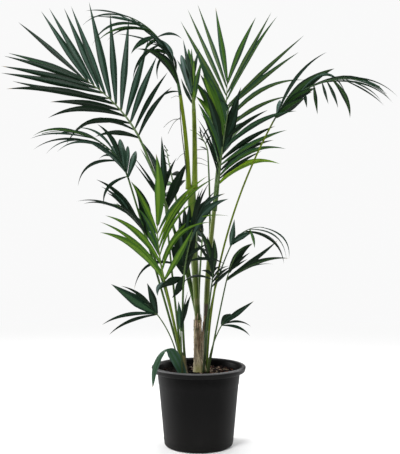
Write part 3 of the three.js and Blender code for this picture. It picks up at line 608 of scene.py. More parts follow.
class Finish:
    """A material, or the world given as `owner`, with the nodes that make its look."""

    def __init__(self, name, owner=None):
        self.material = owner or bpy.data.materials.new(name)
        self.material.use_nodes = True
        self.tree = self.material.node_tree
        self.tree.nodes.clear()

    def node(self, kind, settings=None, values=None):
        """A new node, with its settings and what its sockets are fed."""
        made = self.tree.nodes.new(kind)
        for key, value in (settings or {}).items():
            setattr(made, key, value)
        for key, value in (values or {}).items():
            self.feed(made.inputs[key], value)
        return made

    def feed(self, socket, value):
        """Gives a socket a plain value or a link."""
        if isinstance(value, Wire):
            value = value.socket
        if isinstance(value, bpy.types.NodeSocket):
            self.tree.links.new(value, socket)
        else:
            socket.default_value = value

    def where(self):
        """Places on the plant, in metres."""
        return self.node("ShaderNodeTexCoord").outputs["Object"]

    def axis(self, name, places=None):
        """How far a place lies along X, Y or Z."""
        parts = self.node("ShaderNodeSeparateXYZ", None, {"Vector": places or self.where()})
        return Wire(self, parts.outputs[name])

    def across_leaf(self):
        """How far across its leaflet a place lies, from 0 to 1."""
        return self.axis("X", self.node("ShaderNodeUVMap", dict(uv_map="place")).outputs["UV"])

    def distance_to(self, place):
        """How far a place on the plant lies from another."""
        made = self.node("ShaderNodeVectorMath", dict(operation="DISTANCE"), {0: self.where(), 1: place})
        return Wire(self, made.outputs["Value"])

    def noise(self, scale, stretch=(1, 1, 1), detail=3, rough=0.55, twist=0):
        """Cloudy noise from 0 to 1, with `scale` bumps a metre, drawn out by `stretch`."""
        spread = self.node("ShaderNodeMapping", None, {"Vector": self.where(), "Scale": stretch})
        values = {"Vector": spread.outputs[0], "Scale": scale, "Detail": detail,
                  "Roughness": rough, "Distortion": twist}
        return Wire(self, self.node("ShaderNodeTexNoise", None, values).outputs[0])

    def grains(self, scale):
        """Distance to the nearest of many scattered grains."""
        made = self.node("ShaderNodeTexVoronoi", None, {"Vector": self.where(), "Scale": scale})
        return Wire(self, made.outputs["Distance"])

    def blend(self, factor, first, second):
        """A colour between two others."""
        values = {0: factor, 6: opaque(first), 7: opaque(second)}
        return self.node("ShaderNodeMix", dict(data_type="RGBA"), values).outputs[2]

    def coated(self, colour, coats):
        """A colour with others laid over it in turn, each where its mask is 1."""
        for mask, coat in coats:
            colour = self.blend(mask, colour, coat)
        return colour

    def bump(self, height, strength, depth):
        """Relief from a height of 0 to 1, `depth` millimetres deep."""
        values = {"Height": height, "Strength": strength, "Distance": depth * MM}
        return self.node("ShaderNodeBump", None, values).outputs[0]

    def surface(self, colour, roughness, normal, gloss):
        """The finished material. `gloss` is how strongly it mirrors light that falls straight on it."""
        values = {"Base Color": opaque(colour), "Roughness": roughness, "Normal": normal,
                  "Specular IOR Level": gloss}
        shader = self.node("ShaderNodeBsdfPrincipled", None, values)
        self.node("ShaderNodeOutputMaterial", None, {"Surface": shader.outputs[0]})
        return self.material


# ---------------------------------------------------------------- finishes

# The tints of leaflets: the upper face, the underside, and the darker tint that is painted shade on its
# edges and on part of one half.
# A leaflet's row names its tint by the first letter.
LEAF_TINTS = {
    # night, the darkest tint, is partly painted shade: it goes to leaflets that lie in the shade of others.
    "night": ((0.0044, 0.0134, 0.0054), (0.010, 0.023, 0.014), "night"),
    "deep": ((0.0115, 0.0310, 0.0175), (0.026, 0.053, 0.036), "night"),
    "leaf": ((0.0235, 0.062, 0.027), (0.042, 0.088, 0.046), "deep"),
    "slate": ((0.036, 0.074, 0.052), (0.058, 0.104, 0.080), "deep"),
    "green": ((0.042, 0.108, 0.012), (0.066, 0.136, 0.036), "leaf"),
    "fresh": ((0.094, 0.190, 0.014), (0.110, 0.210, 0.040), "green"),
    "bright": ((0.150, 0.260, 0.012), (0.160, 0.265, 0.040), "fresh"),
    "mist": ((0.085, 0.130, 0.118), (0.100, 0.145, 0.132), "slate"),
    "olive": ((0.056, 0.098, 0.026), (0.078, 0.124, 0.050), "leaf"),
    "pine": ((0.0125, 0.040, 0.0065), (0.026, 0.062, 0.018), "night"),
}

# Stalks and ribs: the colour low down, the colour higher up, and the heights in millimetres
# between which one passes into the other.
STALK_COLOURS = {
    "stalk_dark": ((0.020, 0.032, 0.012), (0.032, 0.068, 0.018), 200, 330),
    "stalk_green": ((0.038, 0.052, 0.018), (0.054, 0.105, 0.022), 200, 330),
    "stalk_lime": ((0.058, 0.092, 0.012), (0.116, 0.172, 0.008), 200, 380),
    "rib_green": ((0.065, 0.120, 0.030), (0.100, 0.155, 0.060), 300, 900),
    "rib_lime": ((0.110, 0.190, 0.030), (0.150, 0.220, 0.045), 300, 900),
    "rib_dark": ((0.018, 0.046, 0.016), (0.030, 0.070, 0.024), 300, 900),
}


def leaf_finish(name, tint, roughness, veins):
    """A leathery leaf of one tint, with fine veins that run along it."""
    finish = Finish(name)
    lines = (finish.across_leaf() * (2 * math.pi * veins)).wave()
    mottle = finish.noise(90, detail=4)
    height = lines * 0.6 + mottle * 0.4
    return finish.surface(tint, roughness + mottle.swing(0.18), finish.bump(height, 0.35, 0.25), 0.09)


def dry_finish(name, tint):
    """Dry fibre of one colour."""
    finish = Finish(name)
    fibre = finish.noise(400, (1, 1, 0.3))
    return finish.surface(tint, 0.75, finish.bump(fibre, 0.4, 0.3), 0.2)


def stalk_finish(name, low, high, low_end, high_end):
    """A smooth stalk, of one colour low on the plant and another higher up, finely lined."""
    finish = Finish(name)
    lines = finish.noise(260, (1, 1, 0.045), detail=4)
    cloud = finish.noise(14, (1, 1, 0.5))
    higher = (finish.axis("Z") + cloud.swing(0.12)).above(low_end * MM, high_end * MM)
    colour = finish.coated(low, [
        (higher, high),
        (lines.above(0.44, 0.66) * 0.7, shade(high, 0.4)),
    ])
    return finish.surface(colour, 0.42 + lines.swing(0.2), finish.bump(lines, 0.35, 0.3), 0.16)


def sheath_finish():
    """The waxy green sheath over the trunk, streaked along and duller at its foot.

    It has a pale scar low in front. Its lower half has a painted highlight at its left edge and
    painted shade right of that, and the right side of its foot has a nearly black painted shadow.
    """
    finish = Finish("sheath_skin")
    height, right = finish.axis("Z"), finish.axis("X")
    lines = finish.noise(230, (1, 1, 0.035), detail=5)
    cloud = finish.noise(22, (1, 1, 0.35))
    uneven = right + lines.swing(0.004)
    lower = height.below(0.50, 0.62)
    foot = (height + cloud.swing(0.05)).below(0.330, 0.372)
    scar_place = (-0.006, -0.010, 0.369)
    scar = (finish.distance_to(scar_place) + lines.swing(0.016)).below(0.006, 0.013)
    # Painted shadow on the right side of the sheath's foot.
    painted_shadow = right.above(0.001, 0.006) * height.below(0.372, 0.385)
    colour = finish.coated((0.034, 0.080, 0.008), [
        (lines.above(0.42, 0.62), (0.118, 0.175, 0.020)),
        (cloud.above(0.5, 0.75) * 0.6, (0.030, 0.075, 0.012)),
        (foot * 0.8, (0.050, 0.064, 0.016)),
        (scar * 0.8, (0.160, 0.160, 0.070)),
        # Painted shade over the lower half, right of its left edge.
        (uneven.above(-0.0062, -0.0042) * lower * 0.5, (0.022, 0.034, 0.006)),
        # Painted highlight on the lower half's left edge.
        (uneven.below(-0.0085, -0.0065) * lower * 0.35, (0.190, 0.220, 0.100)),
        (painted_shadow * 0.75, (0.012, 0.016, 0.006)),
    ])
    return finish.surface(colour, 0.36 + lines.swing(0.22), finish.bump(lines, 0.4, 0.35), 0.2)


def bark_finish(name, pale, brown, foot=None):
    """Fibrous bark, streaked pale and dark along, with faint rings.

    `foot` is a green that the trunk has at its foot and top. It then also has a dark olive left
    side near its top, a painted highlight on its left edge below that, and painted shade that
    darkens its right side to brown.
    """
    finish = Finish(name)
    height = finish.axis("Z")
    streak = finish.noise(95, (1, 1, 0.10), detail=6, rough=0.7)
    band = finish.noise(70, (1, 1, 0.12), detail=4)
    fibre = finish.noise(420, (1, 1, 0.08), detail=5, rough=0.6)
    patch = finish.noise(55, (1, 1, 0.7), detail=4)
    ring_gap = 0.023
    ring = (height * (2 * math.pi / ring_gap) + patch * 16).wave()
    crack = shade(brown, 0.18)
    coats = [
        (streak.above(0.42, 0.58), pale),
        (band.above(0.48, 0.6) * 0.75, shade(brown, 0.6)),
        (fibre.above(0.53, 0.66) * 0.8, crack),
        (ring ** 10 * 0.22, crack),
    ]
    if foot:
        up = height + patch.swing(0.03)
        right = finish.axis("X") + band.swing(0.012)
        coats += [
            (up.below(0.196, 0.216) * 0.7, foot),
            (up.above(0.286, 0.300) * right.below(-0.003, 0.001) * 0.85, shade(foot, 0.22)),
            (up.above(0.318, 0.326) * 0.8, foot),
            # Painted highlight on the trunk's left edge.
            (right.below(-0.010, -0.006) * height.below(0.28, 0.3) * 0.5, pale),
            # Painted shade on the trunk's right side.
            (right.above(0.003, 0.009) * 0.6, shade(brown, 0.35)),
        ]
    grain = fibre * 0.5 + streak * 0.3 + (1 - ring ** 4) * 0.2
    colour = finish.coated(brown, coats)
    return finish.surface(colour, 0.78 + fibre.swing(0.2), finish.bump(grain, 0.8, 1.1), 0.25)


def old_stem_finish():
    """The right stem: dark green low down, a purplish brown scar, and yellow green above it."""
    finish = Finish("right_stem_skin")
    lines = finish.noise(240, (1, 1, 0.04), detail=5)
    cloud = finish.noise(60, (1, 1, 0.5), detail=4)
    up = finish.axis("Z") + cloud.swing(0.03)
    colour = finish.coated((0.030, 0.046, 0.014), [
        (up.above(0.318, 0.334), (0.070, 0.048, 0.034)),
        (up.above(0.352, 0.362), (0.105, 0.140, 0.020)),
        (lines.above(0.45, 0.7) * 0.6, (0.030, 0.045, 0.012)),
    ])
    return finish.surface(colour, 0.45 + lines.swing(0.2), finish.bump(lines, 0.4, 0.35), 0.35)


def soil_finish():
    """Moist bark compost: near black crumbs with a few reddish fibres."""
    finish = Finish("compost")
    crumbs = finish.grains(210)
    damp = finish.noise(60, detail=5)
    fibre = finish.noise(170, (1, 0.25, 1), detail=5, twist=2.5)
    colour = finish.coated((0.0026, 0.0019, 0.0016), [
        (damp.above(0.35, 0.7), (0.009, 0.0055, 0.004)),
        (fibre.above(0.6, 0.72) * 0.7, (0.085, 0.040, 0.022)),
    ])
    height = damp * 0.5 + (1 - crumbs) * 0.5
    return finish.surface(colour, 0.9, finish.bump(height, 0.9, 2.2), 0.08)


def chip_finish(name, tint):
    """A piece of bark in the compost, with its grain."""
    finish = Finish(name)
    grain = finish.noise(420, (1, 0.3, 1), detail=5, twist=1)
    colour = finish.blend(grain.above(0.4, 0.7), tint, shade(tint, 0.4))
    return finish.surface(colour, 0.85, finish.bump(grain, 0.6, 0.6), 0.06)


def pot_finish(name, plastic, dust_and_lip_light, gloss):
    """Satin plastic with a fine moulded grain, faint hoops and draw lines.

    It is dusty low down and on the lip, where that dust is also painted light on the lip's face.
    A band under the lip is darker, painted shade, and the lip's top edge has a painted
    highlight in front.
    """
    finish = Finish(name)
    height = finish.axis("Z")
    grain = finish.noise(1500, detail=2)
    draw = finish.noise(150, (1, 1, 0.03), detail=4)
    hoops = finish.noise(260, (0.01, 0.01, 1), detail=3)
    dust = finish.noise(26, (1, 1, 0.6), detail=6, rough=0.7)
    dusty = dust.above(0.5, 0.8) * (height.below(0, 0.05) * 0.5 + 0.12)
    front = finish.axis("Y").below(-0.08, -0.03)
    lip = height.above(0.188, 0.190)
    # The band just under the lip that gets painted shade.
    under_lip_shade = height.above(0.150, 0.180) * (1 - lip)
    colour = finish.coated(plastic, [
        (dusty, dust_and_lip_light),
        # Dust on the lip, which also paints light on the lip's face.
        (height.above(0.190, 0.193) * 0.12, dust_and_lip_light),
        (height.below(0, 0.13) * 0.3, dust_and_lip_light),
        # Painted highlight along the top of the lip, strongest in front.
        (height.above(0.2016, 0.2034) * (front * 0.9 + 0.1), (0.088, 0.088, 0.090)),
        # Painted shade under the lip.
        (under_lip_shade * 0.92, shade(plastic, 0.15)),
    ])
    roughness = 0.55 - lip * 0.15 + draw.swing(0.14) + dusty * 0.3 + grain.swing(0.08)
    height_map = grain * 0.35 + hoops * 0.4 + draw * 0.25
    return finish.surface(colour, roughness, finish.bump(height_map, 0.22, 0.35), gloss)


def root_finish():
    """Thin woody roots, mottled pale and brown."""
    finish = Finish("root_skin")
    cloud = finish.noise(180, detail=4)
    colour = finish.blend(cloud, (0.33, 0.27, 0.19), (0.16, 0.11, 0.07))
    return finish.surface(colour, 0.8, finish.bump(cloud, 0.4, 0.4), 0.2)


LEAF_NAMES = list(LEAF_TINTS)
TINT_LETTERS = [name[0] for name in LEAF_NAMES]
# For each tint, the darker tint that paints shade on part of a leaflet.
PAINTED_SHADE_TINTS = [LEAF_NAMES.index(shade_tint) for _, _, shade_tint in LEAF_TINTS.values()]
VEINS = 13  # ridges across a leaflet
LEAF_SET = [
    *[leaf_finish(f"leaf_{name}", tints[0], 0.42, VEINS) for name, tints in LEAF_TINTS.items()],
    *[leaf_finish(f"leaf_{name}_under", tints[1], 0.55, VEINS) for name, tints in LEAF_TINTS.items()],
    leaf_finish("leaf_foot", (0.060, 0.088, 0.028), 0.5, 7),
    dry_finish("leaf_dry_tip", (0.20, 0.15, 0.075)),
]
# Where the undersides start in LEAF_SET, and the finishes of a leaflet's foot and of a dry tip.
UNDER = len(LEAF_NAMES)
FOOT_KIND = 2 * UNDER
DRY_KIND = FOOT_KIND + 1

STALK_FINISHES = {name: stalk_finish(name, *row) for name, row in STALK_COLOURS.items()}
SHEATH_FINISH = sheath_finish()
OLD_STEM_FINISH = old_stem_finish()
BARK_FINISH = bark_finish("trunk_bark", (0.400, 0.345, 0.225), (0.128, 0.100, 0.058), (0.260, 0.250, 0.090))
BASE_FINISH = bark_finish("clump_bark", (0.210, 0.190, 0.075), (0.065, 0.048, 0.026))
FIBRE_FINISH = bark_finish("torn_fibre", (0.520, 0.420, 0.280), (0.200, 0.130, 0.075))
THREAD_FINISH = dry_finish("dry_thread", (0.055, 0.062, 0.045))
SOIL_FINISH = soil_finish()
POT_FINISHES = [
    pot_finish("charcoal_plastic", (0.0030, 0.0030, 0.0031), (0.014, 0.013, 0.012), 0.10),
    # The inside of the pot: darker than the outside, with less gloss.
    pot_finish("dark_inner_plastic", (0.0014, 0.0014, 0.0014), (0.0050, 0.0045, 0.0040), 0.03),
]
ROOT_FINISH = root_finish()
CHIP_FINISHES = [
    chip_finish("chip_dark", (0.004, 0.0026, 0.0020)),
    chip_finish("chip_brown", (0.022, 0.010, 0.007)),
    chip_finish("chip_red", (0.105, 0.042, 0.026)),
    chip_finish("chip_grey", (0.260, 0.200, 0.150)),
]

# ---------------------------------------------------------------- pot


def arc(radius, z, rounding, start, steps):
    """Points of a quarter circle in the profile's plane, from one angle on."""
    turns = np.radians(start + 90 * np.arange(steps + 1) / steps)
    return [(radius + rounding * math.cos(turn), z + rounding * math.sin(turn)) for turn in turns]


def straight_radius(z):
    """Radius of the pot's plain taper at a height."""
    return mix(POT["foot_radius"], POT["shoulder_radius"], z / (POT["height"] - POT["lip_drop"]))


def body_radius(z):
    """Radius of the outside of the pot's body, which is set in below its band."""
    return straight_radius(z) - (POT["band_step"] if z < POT["band_height"] else 0)


def inside_radius(z):
    """Radius of the inside of the pot's body, which is straight."""
    return straight_radius(z) - POT["band_step"] - POT["wall"]


def pot_profile():
    """The pot's profile, outside from the middle of its underside to its lip, then inside."""
    rounding, band, slope = POT["foot_rounding"], POT["band_height"], POT["band_slope"]
    height, under = POT["height"], POT["height"] - POT["lip_drop"]
    lip = POT["lip_rounding"]
    middle = POT["rim_radius"] - lip
    hollow, (ring_inside, ring_outside) = POT["foot_hollow"], POT["foot_ring"]
    first, count = POT["wall_rings"]
    outside = [
        (0, hollow),
        (ring_inside, hollow),
        (ring_outside, 0),
        *arc(body_radius(rounding) - rounding, rounding, rounding, -90, 8),
        *[(body_radius(z) + bulge, z) for z, bulge in POT["hoop"]],
        *[(body_radius(z), z) for z in np.linspace(first, band - slope - 4, count)],
        *[(body_radius(z), z) for z in (band - slope, band, under - 12, under - 3)],
        (body_radius(under) + 0.6, under - 0.4),
        *arc(middle, under + lip / 2, lip / 2, -90, 3),
        (middle + lip * 0.72, under + lip),
        *arc(middle, height - lip, lip, 0, 8),
        (middle - POT["lip_top"] + 1, height),
    ]
    inside = [
        (middle - POT["lip_top"], height - 0.4),
        (inside_radius(height) + 0.5, height - POT["lip_inset"]),
        (inside_radius(height - POT["lip_inside"]), height - POT["lip_inside"]),
        (inside_radius(rounding), rounding),
        (inside_radius(rounding) - POT["floor_corner"], POT["floor"]),
        (0, POT["floor"]),
    ]
    return outside, inside


def lathe(pile, outside, inside, sides):
    """A closed shape turned about the axis, from a profile that starts and ends on it.

    The second part of the profile has the second finish.
    """
    profile = outside + inside
    turns = 2 * math.pi * np.arange(sides) / sides
    inner = profile[1:-1]
    rings = [[(r * math.cos(a), r * math.sin(a), z) for a in turns] for r, z in inner]
    ends = [(0, 0, profile[0][1]), (0, 0, profile[-1][1])]
    points = [ends[0], *[point for ring in rings for point in ring], ends[1]]
    faces = []
    for i in range(sides):
        after = (i + 1) % sides
        faces.append((0, 1 + after, 1 + i))
        for ring in range(len(inner) - 1):
            a, b = 1 + ring * sides + i, 1 + ring * sides + after
            faces.append((a, b, b + sides, a + sides))
        last = 1 + (len(inner) - 1) * sides
        faces.append((last + i, last + after, len(points) - 1))
    spans = len(profile) - 1
    pile.add(points, faces, [int(face % spans >= len(outside)) for face in range(len(faces))])


def make_pot():
    """The nursery pot, dusty outside, and darker and duller inside."""
    pile = Pile()
    lathe(pile, *pot_profile(), POT["sides"])
    make_piece("pot_shell", pile, POT_FINISHES, "pot", ["pot"], sharp=32)


# ---------------------------------------------------------------- compost

BED = dict(
    rings=46,
    spokes=150,
    depth=10,
    sunk=1,  # how far its middle height is below the solid's
    wall_gap=0.3,
    swell=(3.4, 26),  # height and width of its broad unevenness
    crumbs=(1.6, 7),  # height and width of its fine unevenness
    crumb_level=50,  # the level at which the noise for that is taken
    mound=3.5,  # height of the heap round each stem
    mound_reach=24,
)

# The stems that stand in the compost.
PLANTED = [stem for stem in STEMS.values() if stem["foot"][2] == GROUND]


def from_stem(stem, x, y):
    """How far a place on the compost is from the middle of a stem's foot."""
    return math.hypot(x - stem["foot"][0], y - stem["foot"][1])


def bed_height(x, y):
    """Height of the compost: uneven, and heaped round each stem."""
    (swell, swell_width), (crumb, crumb_width) = BED["swell"], BED["crumbs"]
    z = SOIL_LEVEL - BED["sunk"] + swell * relief(x, y, 0, swell_width)
    z += crumb * relief(x, y, BED["crumb_level"], crumb_width)
    for stem in PLANTED:
        z += BED["mound"] * bell(from_stem(stem, x, y), BED["mound_reach"])
    return z


def make_bed():
    """The bed of compost, as a closed slab with an uneven top."""
    pile = Pile()
    reach = inside_radius(SOIL_LEVEL) - BED["wall_gap"]
    spokes, rings = BED["spokes"], BED["rings"]
    points = [(0, 0, bed_height(0, 0))]
    for ring in range(1, rings + 1):
        for spoke in range(spokes):
            turn = 2 * math.pi * (spoke + 0.5 * (ring % 2)) / spokes
            out = reach * ring / rings
            x, y = out * math.cos(turn), out * math.sin(turn)
            points.append((x, y, bed_height(x, y)))
    for x, y, _ in points[-spokes:]:
        points.append((x, y, SOIL_LEVEL - BED["depth"]))
    faces = []
    for i in range(spokes):
        after = (i + 1) % spokes
        faces.append((0, 1 + i, 1 + after))
        for ring in range(rings):
            a, b = 1 + ring * spokes + i, 1 + ring * spokes + after
            faces.append((a, b, b + spokes, a + spokes))
    faces.append(tuple(range(len(points) - 1, len(points) - spokes - 1, -1)))
    pile.add(points, faces)
    make_piece("compost_bed", pile, [SOIL_FINISH], "soil", ["soil"])


# `right` says how often each of the four finishes falls right of the pot's middle and behind
# `front`, and `left` how often elsewhere. `tilt` and `roll` are the spread of the slopes at
# which chips lie.
CHIPS = dict(
    count=1500,
    seed=11,
    length=(3, 13),
    width=(2, 6),
    thickness=(0.8, 2.6),
    small=1.6,  # over 1 makes small chips more common
    corners=6,
    corner_reach=(0.7, 1),  # how far a corner stands out, and how thick the chip is there
    corner_thickness=(0.6, 1),
    lift=(0.1, 0.7),  # share of its thickness that a chip's middle is above the bed
    tilt=0.28,
    roll=0.3,
    wall_gap=6,
    front=-55,
    left=(88, 10, 2, 0),
    right=(56, 20, 21, 3),
)


def add_chip(pile, draw, x, y, size, kind):
    """One chip: a bent, uneven slab, laid roughly flat."""
    length, width, thickness = size
    corners = CHIPS["corners"]
    turn = draw.uniform(0, 2 * math.pi)
    tilt, roll = draw.gauss(0, CHIPS["tilt"]), draw.gauss(0, CHIPS["roll"])
    points = []
    for level in (-0.5, 0.5):
        for i in range(corners):
            angle = 2 * math.pi * i / corners
            reach = draw.uniform(*CHIPS["corner_reach"])
            px = length / 2 * math.cos(angle) * reach
            py = width / 2 * math.sin(angle) * reach
            pz = level * thickness * draw.uniform(*CHIPS["corner_thickness"])
            pz += px * math.tan(tilt) + py * math.tan(roll)
            points.append((x + px * math.cos(turn) - py * math.sin(turn),
                           y + px * math.sin(turn) + py * math.cos(turn), pz))
    middle = bed_height(x, y) + thickness * draw.uniform(*CHIPS["lift"])
    points = [(px, py, pz + middle) for px, py, pz in points]
    sides = [(i, (i + 1) % corners, (i + 1) % corners + corners, i + corners) for i in range(corners)]
    ends = [tuple(range(corners - 1, -1, -1)), tuple(range(corners, 2 * corners))]
    pile.add(points, ends + sides, kind)


def make_chips():
    """Bark chips scattered over the compost, clear of the stems."""
    pile = Pile()
    draw = random.Random(CHIPS["seed"])
    reach = inside_radius(SOIL_LEVEL) - CHIPS["wall_gap"]
    for _ in range(CHIPS["count"]):
        distance = reach * math.sqrt(draw.random())
        turn = draw.uniform(0, 2 * math.pi)
        x, y = distance * math.cos(turn), distance * math.sin(turn)
        small = draw.random() ** CHIPS["small"]
        size = tuple(mix(*CHIPS[measure], small) for measure in ("length", "width", "thickness"))
        shares = CHIPS["right" if x > 0 and y > CHIPS["front"] else "left"]
        kind = draw.choices(range(len(CHIP_FINISHES)), shares)[0]
        if all(from_stem(stem, x, y) > stem["radius"][0] + size[0] / 3 for stem in PLANTED):
            add_chip(pile, draw, x, y, size, kind)
    make_piece("bark_chips", pile, CHIP_FINISHES, "soil", sharp=30)


# Thin roots that lie on the compost: their places on its top, and their radius.
ROOTS = [
    (((20, -2), (34, 14), (50, 16), (62, 30), (78, 34)), 1.5),
    (((26, 6), (38, -6), (52, -4), (66, -14)), 1.2),
    (((30, 30), (44, 44), (60, 48), (70, 62)), 1.3),
    (((-8, 12), (-18, 34), (-12, 52), (-24, 70)), 1.2),
    (((-52, -30), (-66, -26), (-76, -10)), 1.1),
    (((6, -20), (14, -38), (30, -48), (36, -66)), 1.0),
]
ROOT = dict(
    steps=6,  # steps from one place to the next
    end=0.45,  # share of its radius that a root has at its end
    lift=(0.7, 0.5),  # shares of its radius that it lies above the compost, and that this varies by
    wave=4,  # steps for which the lift stays the same
    seed=3,
)


def smooth_path(points, per_span):
    """A smooth line through points, with the given number of steps from one to the next."""
    points = np.array(points, float)
    padded = np.vstack([2 * points[0] - points[1], points, 2 * points[-1] - points[-2]])
    line = []
    for i in range(1, len(padded) - 2):
        before, a, b, after = padded[i - 1:i + 3]
        for step in range(per_span):
            t = step / per_span
            line.append(0.5 * (2 * a + (b - before) * t + (2 * before - 5 * a + 4 * b - after) * t ** 2
                               + (3 * a - before - 3 * b + after) * t ** 3))
    line.append(padded[-2])
    return np.array(line)


def laid_path(squares, depths, per_span):
    """A smooth path through squares of the camera's frame, its depth running between two depths."""
    deep = np.linspace(*depths, len(squares))
    return smooth_path([seen_at(*square, depth) for square, depth in zip(squares, deep)], per_span)


OFF_WAY = (0.3, 0.5, 0.8)  # a direction that no strand follows


def add_strand(pile, line, radius, sides=8):
    """A round strand along a line, whose radius is given at each point."""
    turns = 2 * math.pi * np.arange(sides) / sides
    ways = unit(np.gradient(line, axis=0))
    side = unit(np.cross(ways[0], OFF_WAY))
    rings = []
    for place, way, thick in zip(line, ways, radius):
        side = unit(side - way * side.dot(way))
        face = np.cross(way, side)
        rings.append(place + thick * (np.outer(np.cos(turns), side) + np.outer(np.sin(turns), face)))
    pile.add_skin(rings)


def make_roots():
    """The thin roots, which rise and sink a little as they run over the compost."""
    pile = Pile()
    for row, (places, radius) in enumerate(ROOTS):
        line = smooth_path([(x, y, 0) for x, y in places], ROOT["steps"])
        for i, place in enumerate(line):
            lift, varied = ROOT["lift"]
            lift += varied * chance(row + ROOT["seed"], i // ROOT["wave"])
            place[2] = bed_height(place[0], place[1]) + radius * lift
        add_strand(pile, line, radius * np.linspace(1, ROOT["end"], len(line)))
    make_piece("surface_roots", pile, [ROOT_FINISH], "bark")


# ---------------------------------------------------------------- stems


def stem_course(stem):
    """A stem follows the same rule as a stalk, with no blade after it."""
    return dict(foot=stem["foot"], stalk=stem["length"], blade=1, lean=(*stem["lean"], 0), away=(0, 0, 0))


def limb_rings(course, stops, radius, sides):
    """Rings round a centre line. `radius` takes the distance along it and the angles round it."""
    line = centre_line(course)
    turns = 2 * math.pi * np.arange(sides) / sides
    rings = []
    for along in stops:
        _, side, face = blade_frame(course, along, 0)
        reach = radius(along, turns)
        to_side, to_face = np.cos(turns) * reach, np.sin(turns) * reach
        rings.append(line(along) + np.outer(to_side, side) + np.outer(to_face, face))
    return rings


# A `..._relief` is what relief_round takes: its reach, pace and scale, and octaves if not 3.
TRUNK = dict(
    rings=180,
    sides=72,
    cover=2.2,  # how thick the fibrous bark is
    cover_end=16,  # the length over which it thins out at the top
    flare=1.5,
    flare_reach=12,
    flare_lobes=0.6,  # how far the flare's three lobes stand out, as a share of it
    fibres=0.8,
    fibre_relief=(36, 0.1, 3.2, 4),
    scar_gap=17,  # from one leaf scar to the next
    scar_wander=14,
    scar_relief=(30, 0.3, 25),
    ledge=0.5,  # height of a scar's ledge, and its place and width as shares of the gap
    ledge_at=0.5,
    ledge_width=0.1,
    groove=0.3,
    groove_at=0.72,
    groove_width=0.08,
)


def make_trunk():
    """The woody trunk: leaf-scar rings, fibres that run up it and a flare at the soil."""
    stem = STEMS["trunk"]

    def radius(along, turns):
        base = through(stem["radius"], along / stem["length"])
        cover = TRUNK["cover"] * min(1, (stem["length"] - along) / TRUNK["cover_end"])
        flare = TRUNK["flare"] * math.exp(-along / TRUNK["flare_reach"])
        flare = flare * (1 + TRUNK["flare_lobes"] * np.sin(turns * 3 + 1))
        fibres = TRUNK["fibres"] * relief_round(turns, along, *TRUNK["fibre_relief"])
        wander = TRUNK["scar_wander"] * relief_round(turns, along, *TRUNK["scar_relief"])
        scar = (along + wander) % TRUNK["scar_gap"] / TRUNK["scar_gap"]
        ledge = TRUNK["ledge"] * bell(scar - TRUNK["ledge_at"], TRUNK["ledge_width"])
        groove = TRUNK["groove"] * bell(scar - TRUNK["groove_at"], TRUNK["groove_width"])
        return base + cover + flare + (fibres + (ledge - groove))

    stops = np.linspace(0, stem["length"], TRUNK["rings"])
    pile = Pile()
    pile.add_skin(limb_rings(stem_course(stem), stops, radius, TRUNK["sides"]))
    make_piece("trunk_wood", pile, [BARK_FINISH], "bark", ["trunk"])


# Torn fibres. `low`, `length`, `width`, `wander` and `lift` are the least and the most: the
# height above the trunk's foot at which one starts, its length and width, how far it turns
# round the trunk and how far its ends stand off it. `right_lift` is how much more they stand
# off on the right, and `narrowing` how much slimmer the ends are, both as shares.
FIBRES = dict(
    count=46,
    seed=5,
    rings=9,
    low=(24, 118),
    length=(16, 60),
    width=(1, 3.6),
    wander=(-0.5, 0.5),
    lift=(0.4, 2.8),
    right_lift=0.6,
    narrowing=0.75,
    half_thickness=0.35,
    overshoot=6,  # how far they may reach over the trunk's top
)

# Peels of bark on the trunk, each as a row of THREADS.
PEELS = [
    (((203.2, 373), (202.8, 358), (202.9, 342), (203.4, 328), (204.6, 316)), (2, 2), (3.0, 1.7)),
    (((202.4, 366), (202.3, 348), (202.6, 334), (203.2, 322)), (-3, -3), (2.2, 1.2)),
    (((199.5, 350), (201, 340), (201.3, 331), (199, 323)), (-11, -11), (1.0, 1.8)),
    (((198.6, 356), (197.6, 346), (199, 337)), (-12, -12), (0.9, 1.1)),
    (((197.6, 328), (197.2, 320), (197.8, 313)), (-12, -11), (2.2, 0.5)),
    (((195.8, 326), (195.3, 320), (195.6, 316)), (-9, -8), (1.8, 0.5)),
    (((200.6, 330), (201.2, 321), (200.8, 314)), (-9, -7), (2.2, 0.6)),
]
PEEL = dict(steps=8, ripple=0.22, ripple_pace=1.9)


def fibre_rings(stem, start, length, turn, wander, lift, width):
    """A flat fibre that lies on a stem and stands off it at both ends."""
    course = stem_course(stem)
    line = centre_line(course)
    rings = []
    for t in np.linspace(0, 1, FIBRES["rings"]):
        along = start + length * t
        angle = turn + wander * (t - 0.5)
        _, side, face = blade_frame(course, along, 0)
        out = math.cos(angle) * side + math.sin(angle) * face
        across = -math.sin(angle) * side + math.cos(angle) * face
        to_end = abs(2 * t - 1)
        base = through(stem["radius"], min(1, along / stem["length"]))
        place = line(min(along, stem["length"])) + out * (base + TRUNK["cover"] + lift * to_end ** 3)
        half = across * (width / 2 * (1 - FIBRES["narrowing"] * to_end ** 2))
        thick = out * FIBRES["half_thickness"]
        rings.append([place + half, place + thick, place - half, place - thick])
    return rings


